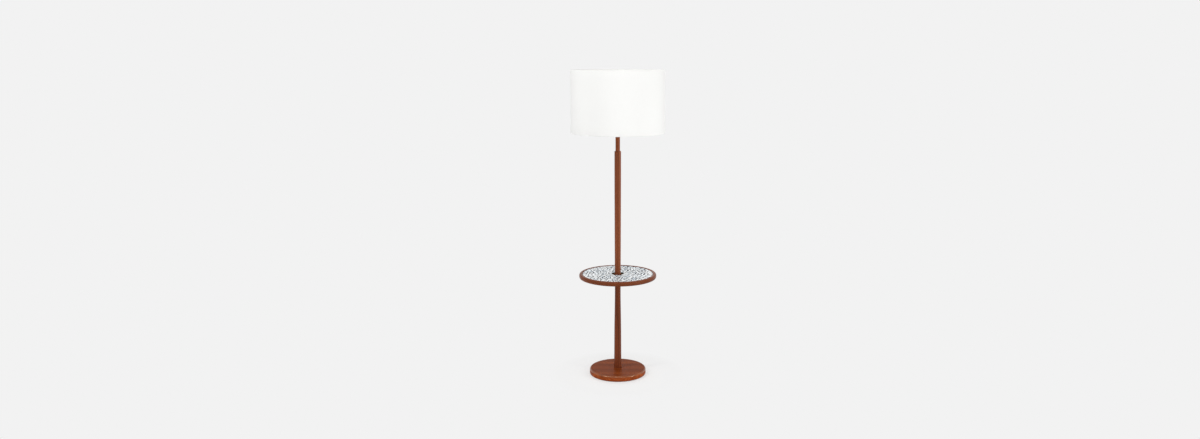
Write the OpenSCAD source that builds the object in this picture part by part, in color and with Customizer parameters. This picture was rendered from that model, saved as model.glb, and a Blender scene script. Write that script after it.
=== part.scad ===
// Floor lamp with a round mosaic table on its post, in millimetres, +Z up.
// The origin is the centre of the base's underside, on the floor.
// The harp's plane is XZ, the switch knob points to the front (-Y) and the cord inlet to the back (+Y).

/* [Overall] */
// Height from the floor to the top of the shade
lamp_h = 1511.3; // [1300:0.1:1800]

/* [Base] */
// Diameter of the base disc
base_d = 279.4; // [250:0.1:340]
// Height of the base's top above the floor
base_h = 28.6; // [28:0.1:40]
// Radius of the base's rounded top edge
base_top_round = 7; // [3:0.5:9]
// Radius of the base's rounded bottom edge
base_foot_round = 3; // [1:0.5:4]
// Thickness of the felt pad
felt_t = 2; // [1:0.5:2.5]
// How far the felt stops short of the base's side
felt_inset = 6; // [4:1:16]
// Wood left above the weight
base_web = 10.6; // [9:0.1:12]
// Diameter of the cast weight
weight_d = 206; // [120:1:210]
// Thickness of the cast weight
weight_t = 12; // [11:0.5:13]
// Gap between the weight and the wood round it
weight_gap = 3; // [1:0.5:5]
// Width of the cord's groove in the weight
groove_w = 11; // [9:0.5:16]
// Depth of the groove and of the nut's recess in the weight
groove_h = 6; // [5:0.5:8]
// Diameter of the nut's recess in the weight
nut_recess_d = 38; // [34:1:50]
// Diameter of the flat washer
washer_d = 32; // [24:1:33]
// Thickness of the flat washer
washer_t = 1.5; // [1:0.1:2]
// Diameter of the lock washer
lock_washer_d = 17; // [15:0.5:20]
// Thickness of the lock washer
lock_washer_t = 1.5; // [1:0.1:2]
// Width of the nut across its flats
nut_flats = 14.3; // [13:0.1:18]
// Height of the nut
nut_h = 4.8; // [4:0.1:5.5]

/* [Cord inlet] */
// Outer diameter of the inlet bushing
bushing_d = 9.6; // [8.5:0.1:11]
// Bore of the inlet bushing
bushing_bore = 7.2; // [6:0.1:8]
// Length of the inlet bushing with its flange
bushing_l = 22; // [14:1:24]
// Diameter of the bushing's flange
bushing_flange_d = 12.6; // [11:0.1:14]
// Thickness of the bushing's flange
bushing_flange_t = 2.4; // [1.6:0.1:4]
// Height of the inlet above the floor
bushing_z = 10; // [9:0.1:11]

/* [Pipe] */
// Outer diameter of the threaded pipe
pipe_d = 9.8; // [8:0.1:11]
// Bore of the threaded pipe
pipe_bore = 6.6; // [5:0.1:7]
// Outer diameter of the pipe coupling
coupling_d = 13; // [12:0.1:16]
// Length of the pipe coupling
coupling_l = 25; // [15:1:40]

/* [Posts] */
// Diameter of the lower post where it stands on the base
lower_foot_d = 38; // [32:0.5:60]
// Diameter of the lower post under the table
lower_top_d = 28.6; // [24:0.1:36]
// Diameter of the lower post's tenon in the base
tenon_d = 25; // [20:0.5:30]
// Depth of the lower post's tenon in the base
tenon_h = 4.8; // [2:0.1:6]
// Diameter of the upper post at the table
upper_foot_d = 29; // [24:0.1:36]
// Diameter of the upper post at its top
upper_top_d = 32.2; // [30:0.1:40]
// Radius of the upper post's rounded top edge
upper_round = 4.5; // [1:0.5:5]
// Diameter of the neck
neck_d = 22; // [18:0.5:23]
// Height of the neck above the upper post
neck_h = 106; // [60:1:160]
// Diameter of the neck's tenon in the upper post
neck_tenon_d = 16; // [14:0.5:17]
// Depth of the neck's tenon in the upper post
neck_tenon_h = 12; // [6:1:30]

/* [Table] */
// Height of the table rim's top above the floor
table_z = 512; // [400:1:800]
// Diameter of the table
table_d = 381; // [300:1:460]
// Height of the rim
rim_h = 22; // [20:0.5:30]
// Width of the rim, seen from above
rim_w = 16; // [10:0.5:30]
// Radius of the rim's rounded outer edges
rim_round = 8; // [3:0.5:9]
// Radius of the rim's rounded inner edge
rim_inner_round = 2; // [0.5:0.5:4]
// How far the rim stands above the mosaic
rim_proud = 1.5; // [0.5:0.1:4]
// Width of the ledge that carries the table core
ledge_w = 8; // [4:0.5:16]
// Thickness of the mosaic chips
tile_t = 2.5; // [1.5:0.1:4]
// Thickness of the bed under the chips
bed_t = 1.5; // [1:0.1:3]
// Thickness of the plywood core
core_t = 12.5; // [9:0.5:13]
// Diameter of the round opening in the middle of the mosaic
table_hole_d = 58.4; // [46:0.1:80]
// Depth of the hub's top below the mosaic
hub_sink = 10.5; // [5:0.5:13]
// Diameter of the hub's flange under the core
hub_flange_d = 90; // [84:1:140]
// Thickness of the hub's flange
hub_flange_t = 10; // [8:0.5:16]
// Depth of the lower post's socket in the hub
hub_low_socket = 4; // [2:0.5:5]
// Depth of the upper post's socket in the hub
hub_top_socket = 3; // [1:0.5:4]
// Number of screws that hold the hub
hub_screws_n = 4; // [3:1:8]
// Shank diameter of a hub screw
hub_screw_d = 3.6; // [3:0.1:5]
// Head diameter of a hub screw
hub_screw_head_d = 8; // [6:0.1:9]
// Length of a hub screw's shank
hub_screw_l = 18; // [14:1:19]

/* [Harp] */
// Height of the harp, from its saddle to the flange that carries the shade
harp_h = 258; // [240:1:290]
// Distance between the harp's two legs
harp_feet = 62; // [58:1:70]
// Diameter of the harp's wire
harp_wire_d = 4; // [3:0.1:4.4]
// Length of the straight leg above the joint
leg_h = 26; // [22:1:40]
// Angle at which the harp flares out
flare_a = 28; // [15:1:30]
// Width of the saddle's strip
saddle_w = 12; // [11:0.5:18]
// Thickness of the saddle's strip
saddle_t = 1.6; // [1:0.1:2.5]
// Height of the saddle's ears
ear_h = 9; // [6:0.5:12]
// Thickness of the saddle's ears
ear_t = 4.8; // [4.4:0.1:7]
// Height of the pins on the ears
ear_pin_h = 8; // [6:0.5:10]
// Outer diameter of a sliding sleeve
sleeve_d = 8.4; // [7:0.1:10]
// Length of a sliding sleeve
sleeve_h = 20; // [14:0.5:20]
// Diameter of the barrel at the top of the harp
barrel_d = 9; // [7:0.1:11]
// Height of the barrel at the top of the harp
barrel_h = 9; // [7:0.1:12]
// Diameter of the flange that carries the shade
stud_flange_d = 14; // [10:0.5:20]
// Thickness of the flange that carries the shade
stud_flange_t = 2; // [1:0.1:3]
// Diameter of the threaded stud
stud_d = 6.2; // [5:0.1:7]
// Height of the threaded stud
stud_h = 13.5; // [11:0.5:14]

/* [Socket] */
// Outer diameter of the brass check ring on the neck
check_ring_d = 26; // [23:0.5:32]
// Thickness of the check ring
check_ring_t = 3; // [2:0.1:5]
// Outer diameter of the socket's cap
cap_d = 33.8; // [33:0.1:38]
// Wall of the socket's cap
cap_wall = 0.7; // [0.4:0.1:1]
// Diameter of the cap's threaded hub
cap_hub_d = 15; // [14:0.5:18]
// Height of the cap's threaded hub
cap_hub_h = 8; // [6:0.5:10]
// Height of the cap's shoulder
cap_shoulder_h = 16; // [14:0.5:18]
// Height of the socket's cap
cap_h = 23; // [21:0.5:28]
// Height of the socket's shell
shell_h = 46; // [44:0.5:56]
// Wall of the socket's shell
shell_wall = 0.6; // [0.4:0.1:0.8]
// Wall of the paper liner
paper_t = 0.8; // [0.4:0.1:1]
// Height of the socket's core
socket_core_h = 20; // [18:0.5:22]
// Inner diameter of the thread sleeve
thread_d = 26.7; // [26.6:0.1:27]
// Wall of the thread sleeve
thread_wall = 0.4; // [0.3:0.1:0.5]
// Height of the thread sleeve
thread_h = 22; // [18:0.5:23]
// Diameter of the switch's shaft
shaft_d = 4; // [3:0.1:5]
// Diameter of the switch's knob
knob_d = 13; // [10:0.5:16]
// Length of the switch's knob
knob_l = 15; // [10:0.5:22]

/* [Bulb] */
// Largest diameter of the bulb
bulb_d = 60; // [50:1:66]
// Length of the bulb
bulb_l = 104; // [96:1:110]
// Diameter of the bulb's screw cap
bulb_cap_d = 26; // [25:0.1:26.2]
// Height of the bulb's screw cap
bulb_cap_h = 21; // [18:0.5:24]
// Wall of the bulb's housing
housing_wall = 1.5; // [1:0.1:2]
// Wall of the bulb's diffuser
diffuser_wall = 1.2; // [0.8:0.1:2]
// Number of light diodes on the board
leds_n = 8; // [4:1:12]

/* [Shade] */
// Diameter of the shade
shade_d = 457.2; // [360:0.1:520]
// Height of the shade
shade_h = 304.8; // [260:0.1:320]
// Thickness of the shade's fabric
fabric_t = 0.7; // [0.4:0.1:1.5]
// Thickness of the shade's stiff liner
liner_t = 1; // [0.6:0.1:2]
// Diameter of the shade's ring wire
ring_wire_d = 3.2; // [2.4:0.1:4]
// Diameter of the spider's arm wire
arm_wire_d = 3.2; // [2:0.1:4]
// Number of the spider's arms
arms_n = 3; // [3:1:4]
// Depth of the spider's hub below the top of the shade
spider_drop = 24; // [22:0.5:40]
// Height of the hem tape inside the shade
hem_h = 12; // [8:0.5:20]
// Thickness of the hem tape
hem_t = 0.4; // [0.3:0.1:0.8]
// Diameter of the spider's hub
spider_hub_d = 24; // [18:0.5:32]
// Thickness of the spider's hub
spider_hub_t = 2; // [1:0.1:3]

/* [Finial] */
// Diameter of the finial's foot
finial_foot_d = 13; // [10:0.5:18]
// Height of the finial's foot
finial_foot_h = 3; // [2:0.1:4]
// Diameter of the finial's ball
finial_ball_d = 15; // [13:0.5:17]
// Height of the finial
finial_h = 17.4; // [16:0.1:18]

/* [Hidden] */
$fn = 96;
// Overrun of every cut
over = 1;
// Radial clearance between the pipe and what slides on it
pipe_slip = 0.4;
// Radial clearance of a thread, a tenon or a pressed fit
fit = 0.05;
// Radial clearance of a wooden joint
wood_fit = 0.15;
// Gap between a moving piece and its seat
seat_gap = 0.3;

// Base
base_r = base_d / 2;
wood_z = felt_t;
recess_z = base_h - base_web;
weight_z = recess_z - weight_t;
washer_z = weight_z + groove_h - washer_t;
lock_washer_z = washer_z - lock_washer_t;
lock_washer_slit = 1.6;
nut_z = lock_washer_z - nut_h;
pipe_end_out = 0.8;
bushing_sink = 0.8;
bushing_flange_y = base_r - bushing_sink;
bushing_y = bushing_flange_y + bushing_flange_t - bushing_l;
inlet_slip = 0.1;

// Table, from the rim's top down
rim_z = table_z - rim_h;
mosaic_z = table_z - rim_proud;
bed_z = mosaic_z - tile_t - bed_t;
core_z = bed_z - core_t;
tile_r = table_d / 2 - rim_w;
hole_r = table_hole_d / 2;
flange_z = core_z - hub_flange_t;
hub_top_z = mosaic_z - hub_sink;
hub_flange_round = 4;
hub_screw_head_h = 2.4;
hub_screw_circle = (hole_r + hub_flange_d / 2) / 2;

// Posts, from the shade down
spider_z = lamp_h - spider_drop;
stud_z = spider_z - seat_gap;
saddle_z = stud_z - harp_h;
neck_top_z = saddle_z - check_ring_t;
upper_top_z = neck_top_z - neck_h;
post_steps = 24;
lower_z = base_h;
lower_end_z = flange_z + hub_low_socket;
upper_z = hub_top_z - hub_top_socket;
flare_share = 0.35;
flare_power = 9;
swell_end_share = 0.85;
upper_full_share = 0.87;
upper_power = 1.6;
pipe_joint_z = lower_end_z - coupling_l / 2 - pipe_slip;

// Socket, from the neck's top up
cap_z = saddle_z + saddle_t;
pipe_top_z = cap_z + cap_hub_h + cap_wall + pipe_end_out;
shell_r = cap_d / 2 - cap_wall - fit;
shell_lift = 1;
shell_z = cap_z + cap_shoulder_h + shell_lift;
bead = 0.5;
bead_h = 2;
paper_lift = 1;
paper_r = shell_r - shell_wall - fit;
paper_z = shell_z + paper_lift;
paper_h = shell_h - bead_h - paper_lift;
socket_core_r = paper_r - paper_t - seat_gap;
socket_core_z = paper_z;
thread_z = socket_core_z + socket_core_h;
thread_r = thread_d / 2 + thread_wall;
thread_flange_t = 0.6;
thread_flange_bore = 14;
contact_foot_r = 5;
contact_foot_t = 0.8;
contact_post_r = 2.5;
contact_h = 3.6;
terminal_x = 11;
terminal_pocket_h = 12;
terminal_head_r = 3;
terminal_head_t = 2;
terminal_shank_r = 1.5;
terminal_shank_l = 5;
cap_screw_r = 1.4;
cap_screw_head_r = 2.4;
cap_screw_head_t = 1.8;
switch_z = socket_core_z + socket_core_h / 2;
shaft_in = 6;
shaft_hole_r = 3.2;
knob_gap = 1.6;
knob_y = cap_d / 2 + knob_gap;
knob_grip = 11;
flutes_n = 12;
flute_r = 0.9;
knob_round = 1.5;

// Harp
foot_x = harp_feet / 2;
shoulder_z = saddle_z + ear_h;
leg_z = shoulder_z + ear_pin_h;
leg_top_z = leg_z + leg_h;
sleeve_slip = 0.3;
barrel_z = stud_z - stud_flange_t - barrel_h;
harp_top_z = barrel_z + barrel_h / 2;
bow_h = harp_top_z - leg_top_z;
joint_trim = 0.1;
joint_bead_share = 1.03;
bow_flare_share = 0.336;
bow_top_share = 0.144;
bow_flare_r = bow_h * bow_flare_share;
bow_top_r = bow_h * bow_top_share;
bow_flat_out = 2.6;

// The side arc's radius is the one with which the flare, the side and the top meet without a kink
top_x = barrel_d / 2 + bow_flat_out;
top_z = harp_top_z - bow_top_r;
bow_run = top_x - foot_x - bow_flare_r;
bow_rise = top_z - leg_top_z;
bow_sum_r = bow_flare_r + bow_top_r;
flare_side_r = (pow(bow_sum_r, 2) - pow(bow_run, 2) - pow(bow_rise, 2))
    / (2 * (bow_sum_r + bow_run * cos(flare_a) - bow_rise * sin(flare_a)));
bow_side_r = flare_side_r - bow_flare_r;
side_x = foot_x + bow_flare_r - flare_side_r * cos(flare_a);
side_z = leg_top_z + flare_side_r * sin(flare_a);
bow_a = atan2(top_z - side_z, top_x - side_x);

// Bulb, from its contact up
bulb_z = thread_z + contact_h + seat_gap;
bulb_contact_r = 4.5;
bulb_contact_h = 2;
insulator_foot_r = 4.8;
insulator_top_r = 9.5;
insulator_h = 4.5;
bulb_cap_z = bulb_z + bulb_contact_h + insulator_h;
bulb_cap_wall = 0.4;
bulb_cap_curve_h = 3;
bulb_cap_top_z = bulb_cap_z + bulb_cap_h;
dome_z = bulb_z + bulb_l - bulb_d / 2;
dome_sink = 9;
housing_top_z = dome_z - dome_sink;
housing_r = sqrt(pow(bulb_d / 2, 2) - pow(dome_sink, 2));
housing_in = 6;
board_t = 1.6;
board_z = housing_top_z - 2 * board_t;
housing_slope = (housing_r - bulb_cap_d / 2) / (housing_top_z - bulb_cap_top_z);
board_r = housing_r - housing_wall - (housing_top_z - board_z) * housing_slope - seat_gap;
led_w = 3;
led_t = 0.8;
led_circle_share = 0.62;
driver_w = 17;
driver_t = 1.6;
driver_h = 32;

// Shade
fabric_r = shade_d / 2;
liner_r = fabric_r - fabric_t;
shade_z = lamp_h - shade_h;
ring_r = liner_r - liner_t - fit - ring_wire_d / 2;
ring_inset = hem_t + ring_wire_d / 2;
hem_r = ring_r - ring_wire_d / 2 - fit - hem_t;
spider_bore_slip = 0.35;
arm_z = spider_z + spider_hub_t / 2;
knee_run = 14.4;
knee_r = ring_r - knee_run;
first_arm_a = 90;

// Finial
finial_z = spider_z + spider_hub_t + seat_gap;
finial_slip = 0.08;
finial_stem_r = 4.2;
finial_deep = 12;

// Colours
walnut = [0.47, 0.26, 0.17];
dark_walnut = [0.24, 0.15, 0.12];
plywood = [0.72, 0.56, 0.38];
felt = [0.16, 0.11, 0.09];
iron = [0.22, 0.22, 0.23];
steel = [0.66, 0.67, 0.68];
brass = [0.78, 0.60, 0.30];
black = [0.07, 0.07, 0.07];
paper = [0.76, 0.70, 0.58];
grout = [0.68, 0.70, 0.71];
tile = [0.85, 0.89, 0.92];
white = [0.95, 0.95, 0.94];
board = [0.92, 0.93, 0.90];

// A round plate of height h, from height z up
module disc(z, h, r) {
    translate([0, 0, z]) cylinder(h = h, r = r);
}

// A round plate with a round hole
module ring(z, h, r, bore_r) {
    difference() {
        disc(z, h, r);
        disc(z - over, h + 2 * over, bore_r);
    }
}

// What rounds the top outer edge of a disc of radius r whose top is at z
module shave_top(r, z, round_r) {
    rotate_extrude() translate([r - round_r, z - round_r]) difference() {
        square(round_r + over);
        circle(round_r);
    }
}

// What rounds the bottom outer edge of a disc of radius r whose underside is at z
module shave_foot(r, z, round_r) {
    rotate_extrude() translate([r - round_r, z + round_r]) difference() {
        translate([0, -round_r - over]) square(round_r + over);
        circle(round_r);
    }
}

// A round bar along +Y or -Y, from y to y + l, at height z
module bar_y(y, l, z, r) {
    translate([0, y, z]) rotate([-90, 0, 0]) cylinder(h = l, r = r);
}

// A round bar along +X, from x to x + l, at height z
module bar_x(x, l, z, r) {
    translate([x, 0, z]) rotate([0, 90, 0]) cylinder(h = l, r = r);
}

// Copies round the vertical axis, the first one at angle a
module around(n, a = 0) {
    for (i = [0 : n - 1]) rotate([0, 0, a + 360 * i / n]) children();
}

// Radius of the lower post at the share t of its length
function lower_r(t) = (lower_top_d + (lower_foot_d - lower_top_d) * (flare_share * pow(1 - t, flare_power)
    + (1 - flare_share) * (1 + cos(180 * min(1, pow(t / swell_end_share, 2)))) / 2)) / 2;

// Radius of the upper post at the share t of its length
function upper_r(t) = (upper_top_d
    - (upper_top_d - upper_foot_d) * pow(max(0, 1 - t / upper_full_share), upper_power)) / 2;

module felt_pad() {
    color(felt) disc(0, felt_t, base_r - felt_inset);
}

module base_disc() {
    color(walnut) difference() {
        disc(wood_z, base_h - wood_z, base_r);
        shave_top(base_r, base_h, base_top_round);
        shave_foot(base_r, wood_z, base_foot_round);
        disc(wood_z - over, recess_z - wood_z + over, weight_d / 2 + weight_gap);
        disc(wood_z, base_h, pipe_d / 2 + pipe_slip);
        disc(base_h - tenon_h, tenon_h + over, tenon_d / 2 + wood_fit);
        bar_y(0, base_r + over, bushing_z, bushing_d / 2 + inlet_slip);
        bar_y(bushing_flange_y, bushing_sink + over, bushing_z, bushing_flange_d / 2 + inlet_slip);
    }
}

module base_weight() {
    color(iron) difference() {
        disc(weight_z, weight_t, weight_d / 2);
        disc(weight_z - over, weight_t + 2 * over, pipe_d / 2 + pipe_slip);
        disc(weight_z - over, groove_h + over, nut_recess_d / 2);
        translate([-groove_w / 2, 0, weight_z - over]) cube([groove_w, weight_d, groove_h + over]);
    }
}

module base_washer() {
    color(steel) ring(washer_z, washer_t, washer_d / 2, pipe_d / 2 + pipe_slip);
}

module lock_washer() {
    color(steel) difference() {
        ring(lock_washer_z, lock_washer_t, lock_washer_d / 2, pipe_d / 2 + pipe_slip);
        translate([-lock_washer_slit / 2, 0, lock_washer_z - over])
            cube([lock_washer_slit, lock_washer_d, lock_washer_t + 2 * over]);
    }
}

module base_nut() {
    color(brass) difference() {
        translate([0, 0, nut_z]) cylinder(h = nut_h, d = nut_flats / cos(30), $fn = 6);
        disc(nut_z - over, nut_h + 2 * over, pipe_d / 2 + fit);
    }
}

module cord_bushing() {
    color(black) difference() {
        union() {
            bar_y(bushing_y, bushing_l, bushing_z, bushing_d / 2);
            bar_y(bushing_flange_y, bushing_flange_t, bushing_z, bushing_flange_d / 2);
        }
        bar_y(bushing_y - over, bushing_l + 2 * over, bushing_z, bushing_bore / 2);
    }
}

module lower_post() {
    bore_r = pipe_d / 2 + pipe_slip;
    length = lower_end_z - lower_z;
    color(walnut) difference() {
        union() {
            rotate_extrude() polygon(concat([[bore_r, lower_z]],
                [for (i = [0 : post_steps]) [lower_r(i / post_steps), lower_z + length * i / post_steps]],
                [[bore_r, lower_end_z]]));
            ring(lower_z - tenon_h, tenon_h, tenon_d / 2, bore_r);
        }
        disc(lower_end_z - coupling_l - 2 * pipe_slip, lower_end_z, coupling_d / 2 + pipe_slip);
    }
}

module lower_pipe() {
    start = nut_z - pipe_end_out;
    color(steel) ring(start, pipe_joint_z - start, pipe_d / 2, pipe_bore / 2);
}

module pipe_coupling() {
    color(brass) ring(pipe_joint_z - coupling_l / 2, coupling_l, coupling_d / 2, pipe_d / 2 + fit);
}

module hub_screw_places() {
    around(hub_screws_n, 45) translate([hub_screw_circle, 0, 0]) children();
}

module table_hub() {
    color(dark_walnut) difference() {
        union() {
            disc(flange_z, hub_flange_t, hub_flange_d / 2);
            disc(flange_z, hub_top_z - flange_z, hole_r - wood_fit);
        }
        shave_foot(hub_flange_d / 2, flange_z, hub_flange_round);
        disc(flange_z - over, table_z - flange_z, pipe_d / 2 + pipe_slip);
        disc(flange_z - over, hub_low_socket + over, lower_top_d / 2 + wood_fit);
        disc(hub_top_z - hub_top_socket, hub_top_socket + over, upper_foot_d / 2 + wood_fit);
        hub_screw_places() disc(flange_z - over, hub_flange_t + 2 * over, hub_screw_d / 2 + fit);
    }
}

module hub_screws() {
    color(steel) hub_screw_places() union() {
        disc(flange_z - hub_screw_head_h, hub_screw_head_h, hub_screw_head_d / 2);
        disc(flange_z, hub_screw_l, hub_screw_d / 2);
    }
}

module table_core() {
    color(plywood) difference() {
        ring(core_z, core_t, tile_r - wood_fit, hole_r);
        hub_screw_places()
            disc(core_z - over, flange_z + hub_screw_l - core_z + over + fit, hub_screw_d / 2 + fit);
    }
}

module table_rim() {
    color(walnut) difference() {
        disc(rim_z, rim_h, table_d / 2);
        shave_top(table_d / 2, table_z, rim_round);
        shave_foot(table_d / 2, rim_z, rim_round);
        disc(rim_z - over, rim_h + 2 * over, tile_r - ledge_w);
        disc(core_z, rim_h, tile_r);
        rotate_extrude() translate([tile_r, table_z - rim_inner_round]) difference() {
            square(rim_inner_round + over);
            translate([rim_inner_round, 0]) circle(rim_inner_round);
            translate([rim_inner_round, -over]) square(rim_inner_round + 2 * over);
        }
    }
}

module mosaic_bed() {
    color(grout) ring(bed_z, bed_t, tile_r - wood_fit, hole_r);
}

module mosaic_tiles() {
    color(tile) ring(bed_z + bed_t, tile_t, tile_r - wood_fit, hole_r);
}

module upper_pipe() {
    color(steel) ring(pipe_joint_z, pipe_top_z - pipe_joint_z, pipe_d / 2, pipe_bore / 2);
}

module upper_post() {
    bore_r = pipe_d / 2 + pipe_slip;
    length = upper_top_z - upper_z;
    color(walnut) difference() {
        rotate_extrude() polygon(concat([[bore_r, upper_z]],
            [for (i = [0 : post_steps]) [upper_r(i / post_steps), upper_z + length * i / post_steps]],
            [[bore_r, upper_top_z]]));
        shave_top(upper_top_d / 2, upper_top_z, upper_round);
        disc(upper_top_z - neck_tenon_h, neck_tenon_h + over, neck_tenon_d / 2 + wood_fit);
    }
}

module neck() {
    color(walnut) difference() {
        union() {
            disc(upper_top_z, neck_top_z - upper_top_z, neck_d / 2);
            disc(upper_top_z - neck_tenon_h, neck_tenon_h, neck_tenon_d / 2);
        }
        disc(upper_z, neck_top_z, pipe_d / 2 + pipe_slip);
    }
}

module check_ring() {
    color(brass) difference() {
        ring(neck_top_z, check_ring_t, check_ring_d / 2, pipe_d / 2 + pipe_slip);
        shave_top(check_ring_d / 2, neck_top_z + check_ring_t, check_ring_t / 2);
    }
}

module harp_saddle() {
    color(brass) difference() {
        union() {
            translate([-foot_x, -saddle_w / 2, saddle_z]) cube([harp_feet, saddle_w, saddle_t]);
            for (side = [-1, 1]) {
                translate([side * foot_x - ear_t / 2, -saddle_w / 2, saddle_z])
                    cube([ear_t, saddle_w, ear_h]);
                translate([side * foot_x, 0, 0]) disc(shoulder_z, ear_pin_h, harp_wire_d / 2);
            }
        }
        disc(saddle_z - over, saddle_t + 2 * over, pipe_d / 2 + pipe_slip);
    }
}

// An arc of the harp's wire in the plane XZ, from angle a to angle b, and the bead that joins it to the next
module bow_arc(x, z, r, a, b) {
    trim_a = 180 * joint_trim / (PI * r);
    translate([x, 0, z]) rotate([90, 0, 0]) {
        rotate([0, 0, a + trim_a]) rotate_extrude(angle = b - a - 2 * trim_a)
            translate([r, 0]) circle(d = harp_wire_d);
        rotate([0, 0, b]) translate([r, 0, 0]) sphere(d = harp_wire_d * joint_bead_share);
    }
}

module half_bow() {
    translate([foot_x, 0, 0]) disc(leg_z, leg_h - joint_trim, harp_wire_d / 2);
    bow_arc(foot_x + bow_flare_r, leg_top_z, bow_flare_r, 180 - flare_a, 180);
    bow_arc(side_x, side_z, bow_side_r, -flare_a, bow_a);
    bow_arc(top_x, top_z, bow_top_r, bow_a, 90);
    translate([side_x + bow_side_r * cos(flare_a), 0, side_z - bow_side_r * sin(flare_a)])
        sphere(d = harp_wire_d * joint_bead_share);
}

module harp_bow() {
    straight = top_x - joint_trim;
    color(brass) union() {
        half_bow();
        mirror([1, 0, 0]) half_bow();
        bar_x(-straight, 2 * straight, harp_top_z, harp_wire_d / 2);
    }
}

module harp_stud() {
    color(brass) difference() {
        union() {
            disc(barrel_z, barrel_h, barrel_d / 2);
            disc(barrel_z + barrel_h, stud_flange_t, stud_flange_d / 2);
            disc(stud_z, stud_h, stud_d / 2);
        }
        bar_x(-barrel_d, 2 * barrel_d, harp_top_z, harp_wire_d / 2 + fit);
    }
}

module sleeve() {
    color(brass) ring(shoulder_z + seat_gap, sleeve_h, sleeve_d / 2, harp_wire_d / 2 + sleeve_slip);
}

module left_sleeve() {
    translate([-foot_x, 0, 0]) sleeve();
}

module right_sleeve() {
    translate([foot_x, 0, 0]) sleeve();
}

module socket_cap() {
    hub_r = cap_hub_d / 2;
    thread_bore_r = pipe_d / 2 + fit;
    out_r = cap_d / 2;
    in_r = out_r - cap_wall;
    color(brass) difference() {
        translate([0, 0, cap_z]) rotate_extrude() polygon([
            [thread_bore_r, 0], [hub_r, 0], [hub_r, cap_hub_h], [out_r, cap_shoulder_h], [out_r, cap_h],
            [in_r, cap_h], [in_r, cap_shoulder_h + cap_wall / 2], [hub_r, cap_hub_h + cap_wall],
            [thread_bore_r, cap_hub_h + cap_wall]]);
        bar_y(0, hub_r + over, cap_z + cap_hub_h / 2, cap_screw_r + fit);
    }
}

module cap_screw() {
    start = pipe_d / 2 + fit;
    color(steel) union() {
        bar_y(start, cap_hub_d / 2 - start, cap_z + cap_hub_h / 2, cap_screw_r);
        bar_y(cap_hub_d / 2, cap_screw_head_t, cap_z + cap_hub_h / 2, cap_screw_head_r);
    }
}

module socket_shell() {
    color(brass) difference() {
        union() {
            ring(shell_z, shell_h, shell_r, shell_r - shell_wall);
            ring(shell_z + shell_h - bead_h, bead_h, shell_r + bead, shell_r - shell_wall);
        }
        bar_y(-cap_d, cap_d, switch_z, shaft_hole_r);
    }
}

module socket_liner() {
    color(paper) difference() {
        ring(paper_z, paper_h, paper_r, paper_r - paper_t);
        bar_y(-cap_d, cap_d, switch_z, shaft_hole_r);
    }
}

module socket_core() {
    color(black) difference() {
        disc(socket_core_z, socket_core_h, socket_core_r);
        bar_y(-cap_d, cap_d - shaft_in, switch_z, shaft_d / 2 + fit);
        for (side = [-1, 1]) scale([side, 1, 1]) {
            translate([terminal_x, -cap_d / 2, socket_core_z - over])
                cube([cap_d, cap_d, terminal_pocket_h + over]);
            bar_x(terminal_x - terminal_shank_l, terminal_shank_l + over,
                socket_core_z + terminal_pocket_h / 2, terminal_shank_r + fit);
        }
    }
}

module thread_sleeve() {
    color(brass) union() {
        ring(thread_z, thread_h, thread_r, thread_d / 2);
        ring(thread_z, thread_flange_t, thread_r, thread_flange_bore / 2);
    }
}

module centre_contact() {
    color(brass) union() {
        disc(thread_z, contact_foot_t, contact_foot_r);
        disc(thread_z, contact_h, contact_post_r);
    }
}

module terminal_screws() {
    z = socket_core_z + terminal_pocket_h / 2;
    color(brass) for (side = [-1, 1]) mirror([side < 0 ? 1 : 0, 0, 0]) union() {
        bar_x(terminal_x - terminal_shank_l, terminal_shank_l, z, terminal_shank_r);
        bar_x(terminal_x, terminal_head_t, z, terminal_head_r);
    }
}

module switch_shaft() {
    end = knob_y + knob_grip;
    color(brass) bar_y(-end, end - shaft_in - seat_gap, switch_z, shaft_d / 2);
}

module switch_knob() {
    knob_r = knob_d / 2;
    color(black) translate([0, 0, switch_z]) rotate([90, 0, 0]) difference() {
        disc(knob_y, knob_l, knob_r);
        shave_top(knob_r, knob_y + knob_l, knob_round);
        around(flutes_n) translate([knob_r, 0, 0]) disc(knob_y - over, knob_l + 2 * over, flute_r);
        disc(knob_y - over, knob_grip + over, shaft_d / 2 + fit);
    }
}

module bulb_contact() {
    color(steel) disc(bulb_z, bulb_contact_h, bulb_contact_r);
}

module bulb_insulator() {
    color(black) translate([0, 0, bulb_z + bulb_contact_h])
        cylinder(h = insulator_h, r1 = insulator_foot_r, r2 = insulator_top_r);
}

module bulb_cap() {
    out_r = bulb_cap_d / 2;
    in_r = out_r - bulb_cap_wall;
    color(steel) translate([0, 0, bulb_cap_z]) rotate_extrude() polygon([
        [0, 0], [insulator_top_r, 0], [out_r, bulb_cap_curve_h], [out_r, bulb_cap_h], [in_r, bulb_cap_h],
        [in_r, bulb_cap_curve_h + bulb_cap_wall], [insulator_top_r, bulb_cap_wall], [0, bulb_cap_wall]]);
}

module bulb_housing() {
    cap_out_r = bulb_cap_d / 2;
    cap_in_r = cap_out_r - bulb_cap_wall - fit;
    color(white) rotate_extrude() polygon([
        [cap_in_r - housing_wall, bulb_cap_top_z - housing_in], [cap_in_r, bulb_cap_top_z - housing_in],
        [cap_in_r, bulb_cap_top_z], [cap_out_r, bulb_cap_top_z], [housing_r, housing_top_z],
        [housing_r - housing_wall, housing_top_z], [cap_out_r - housing_wall, bulb_cap_top_z]]);
}

module driver_board() {
    color("darkgreen") translate([-driver_w / 2, -driver_t / 2, board_z - driver_h])
        cube([driver_w, driver_t, driver_h]);
}

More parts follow.
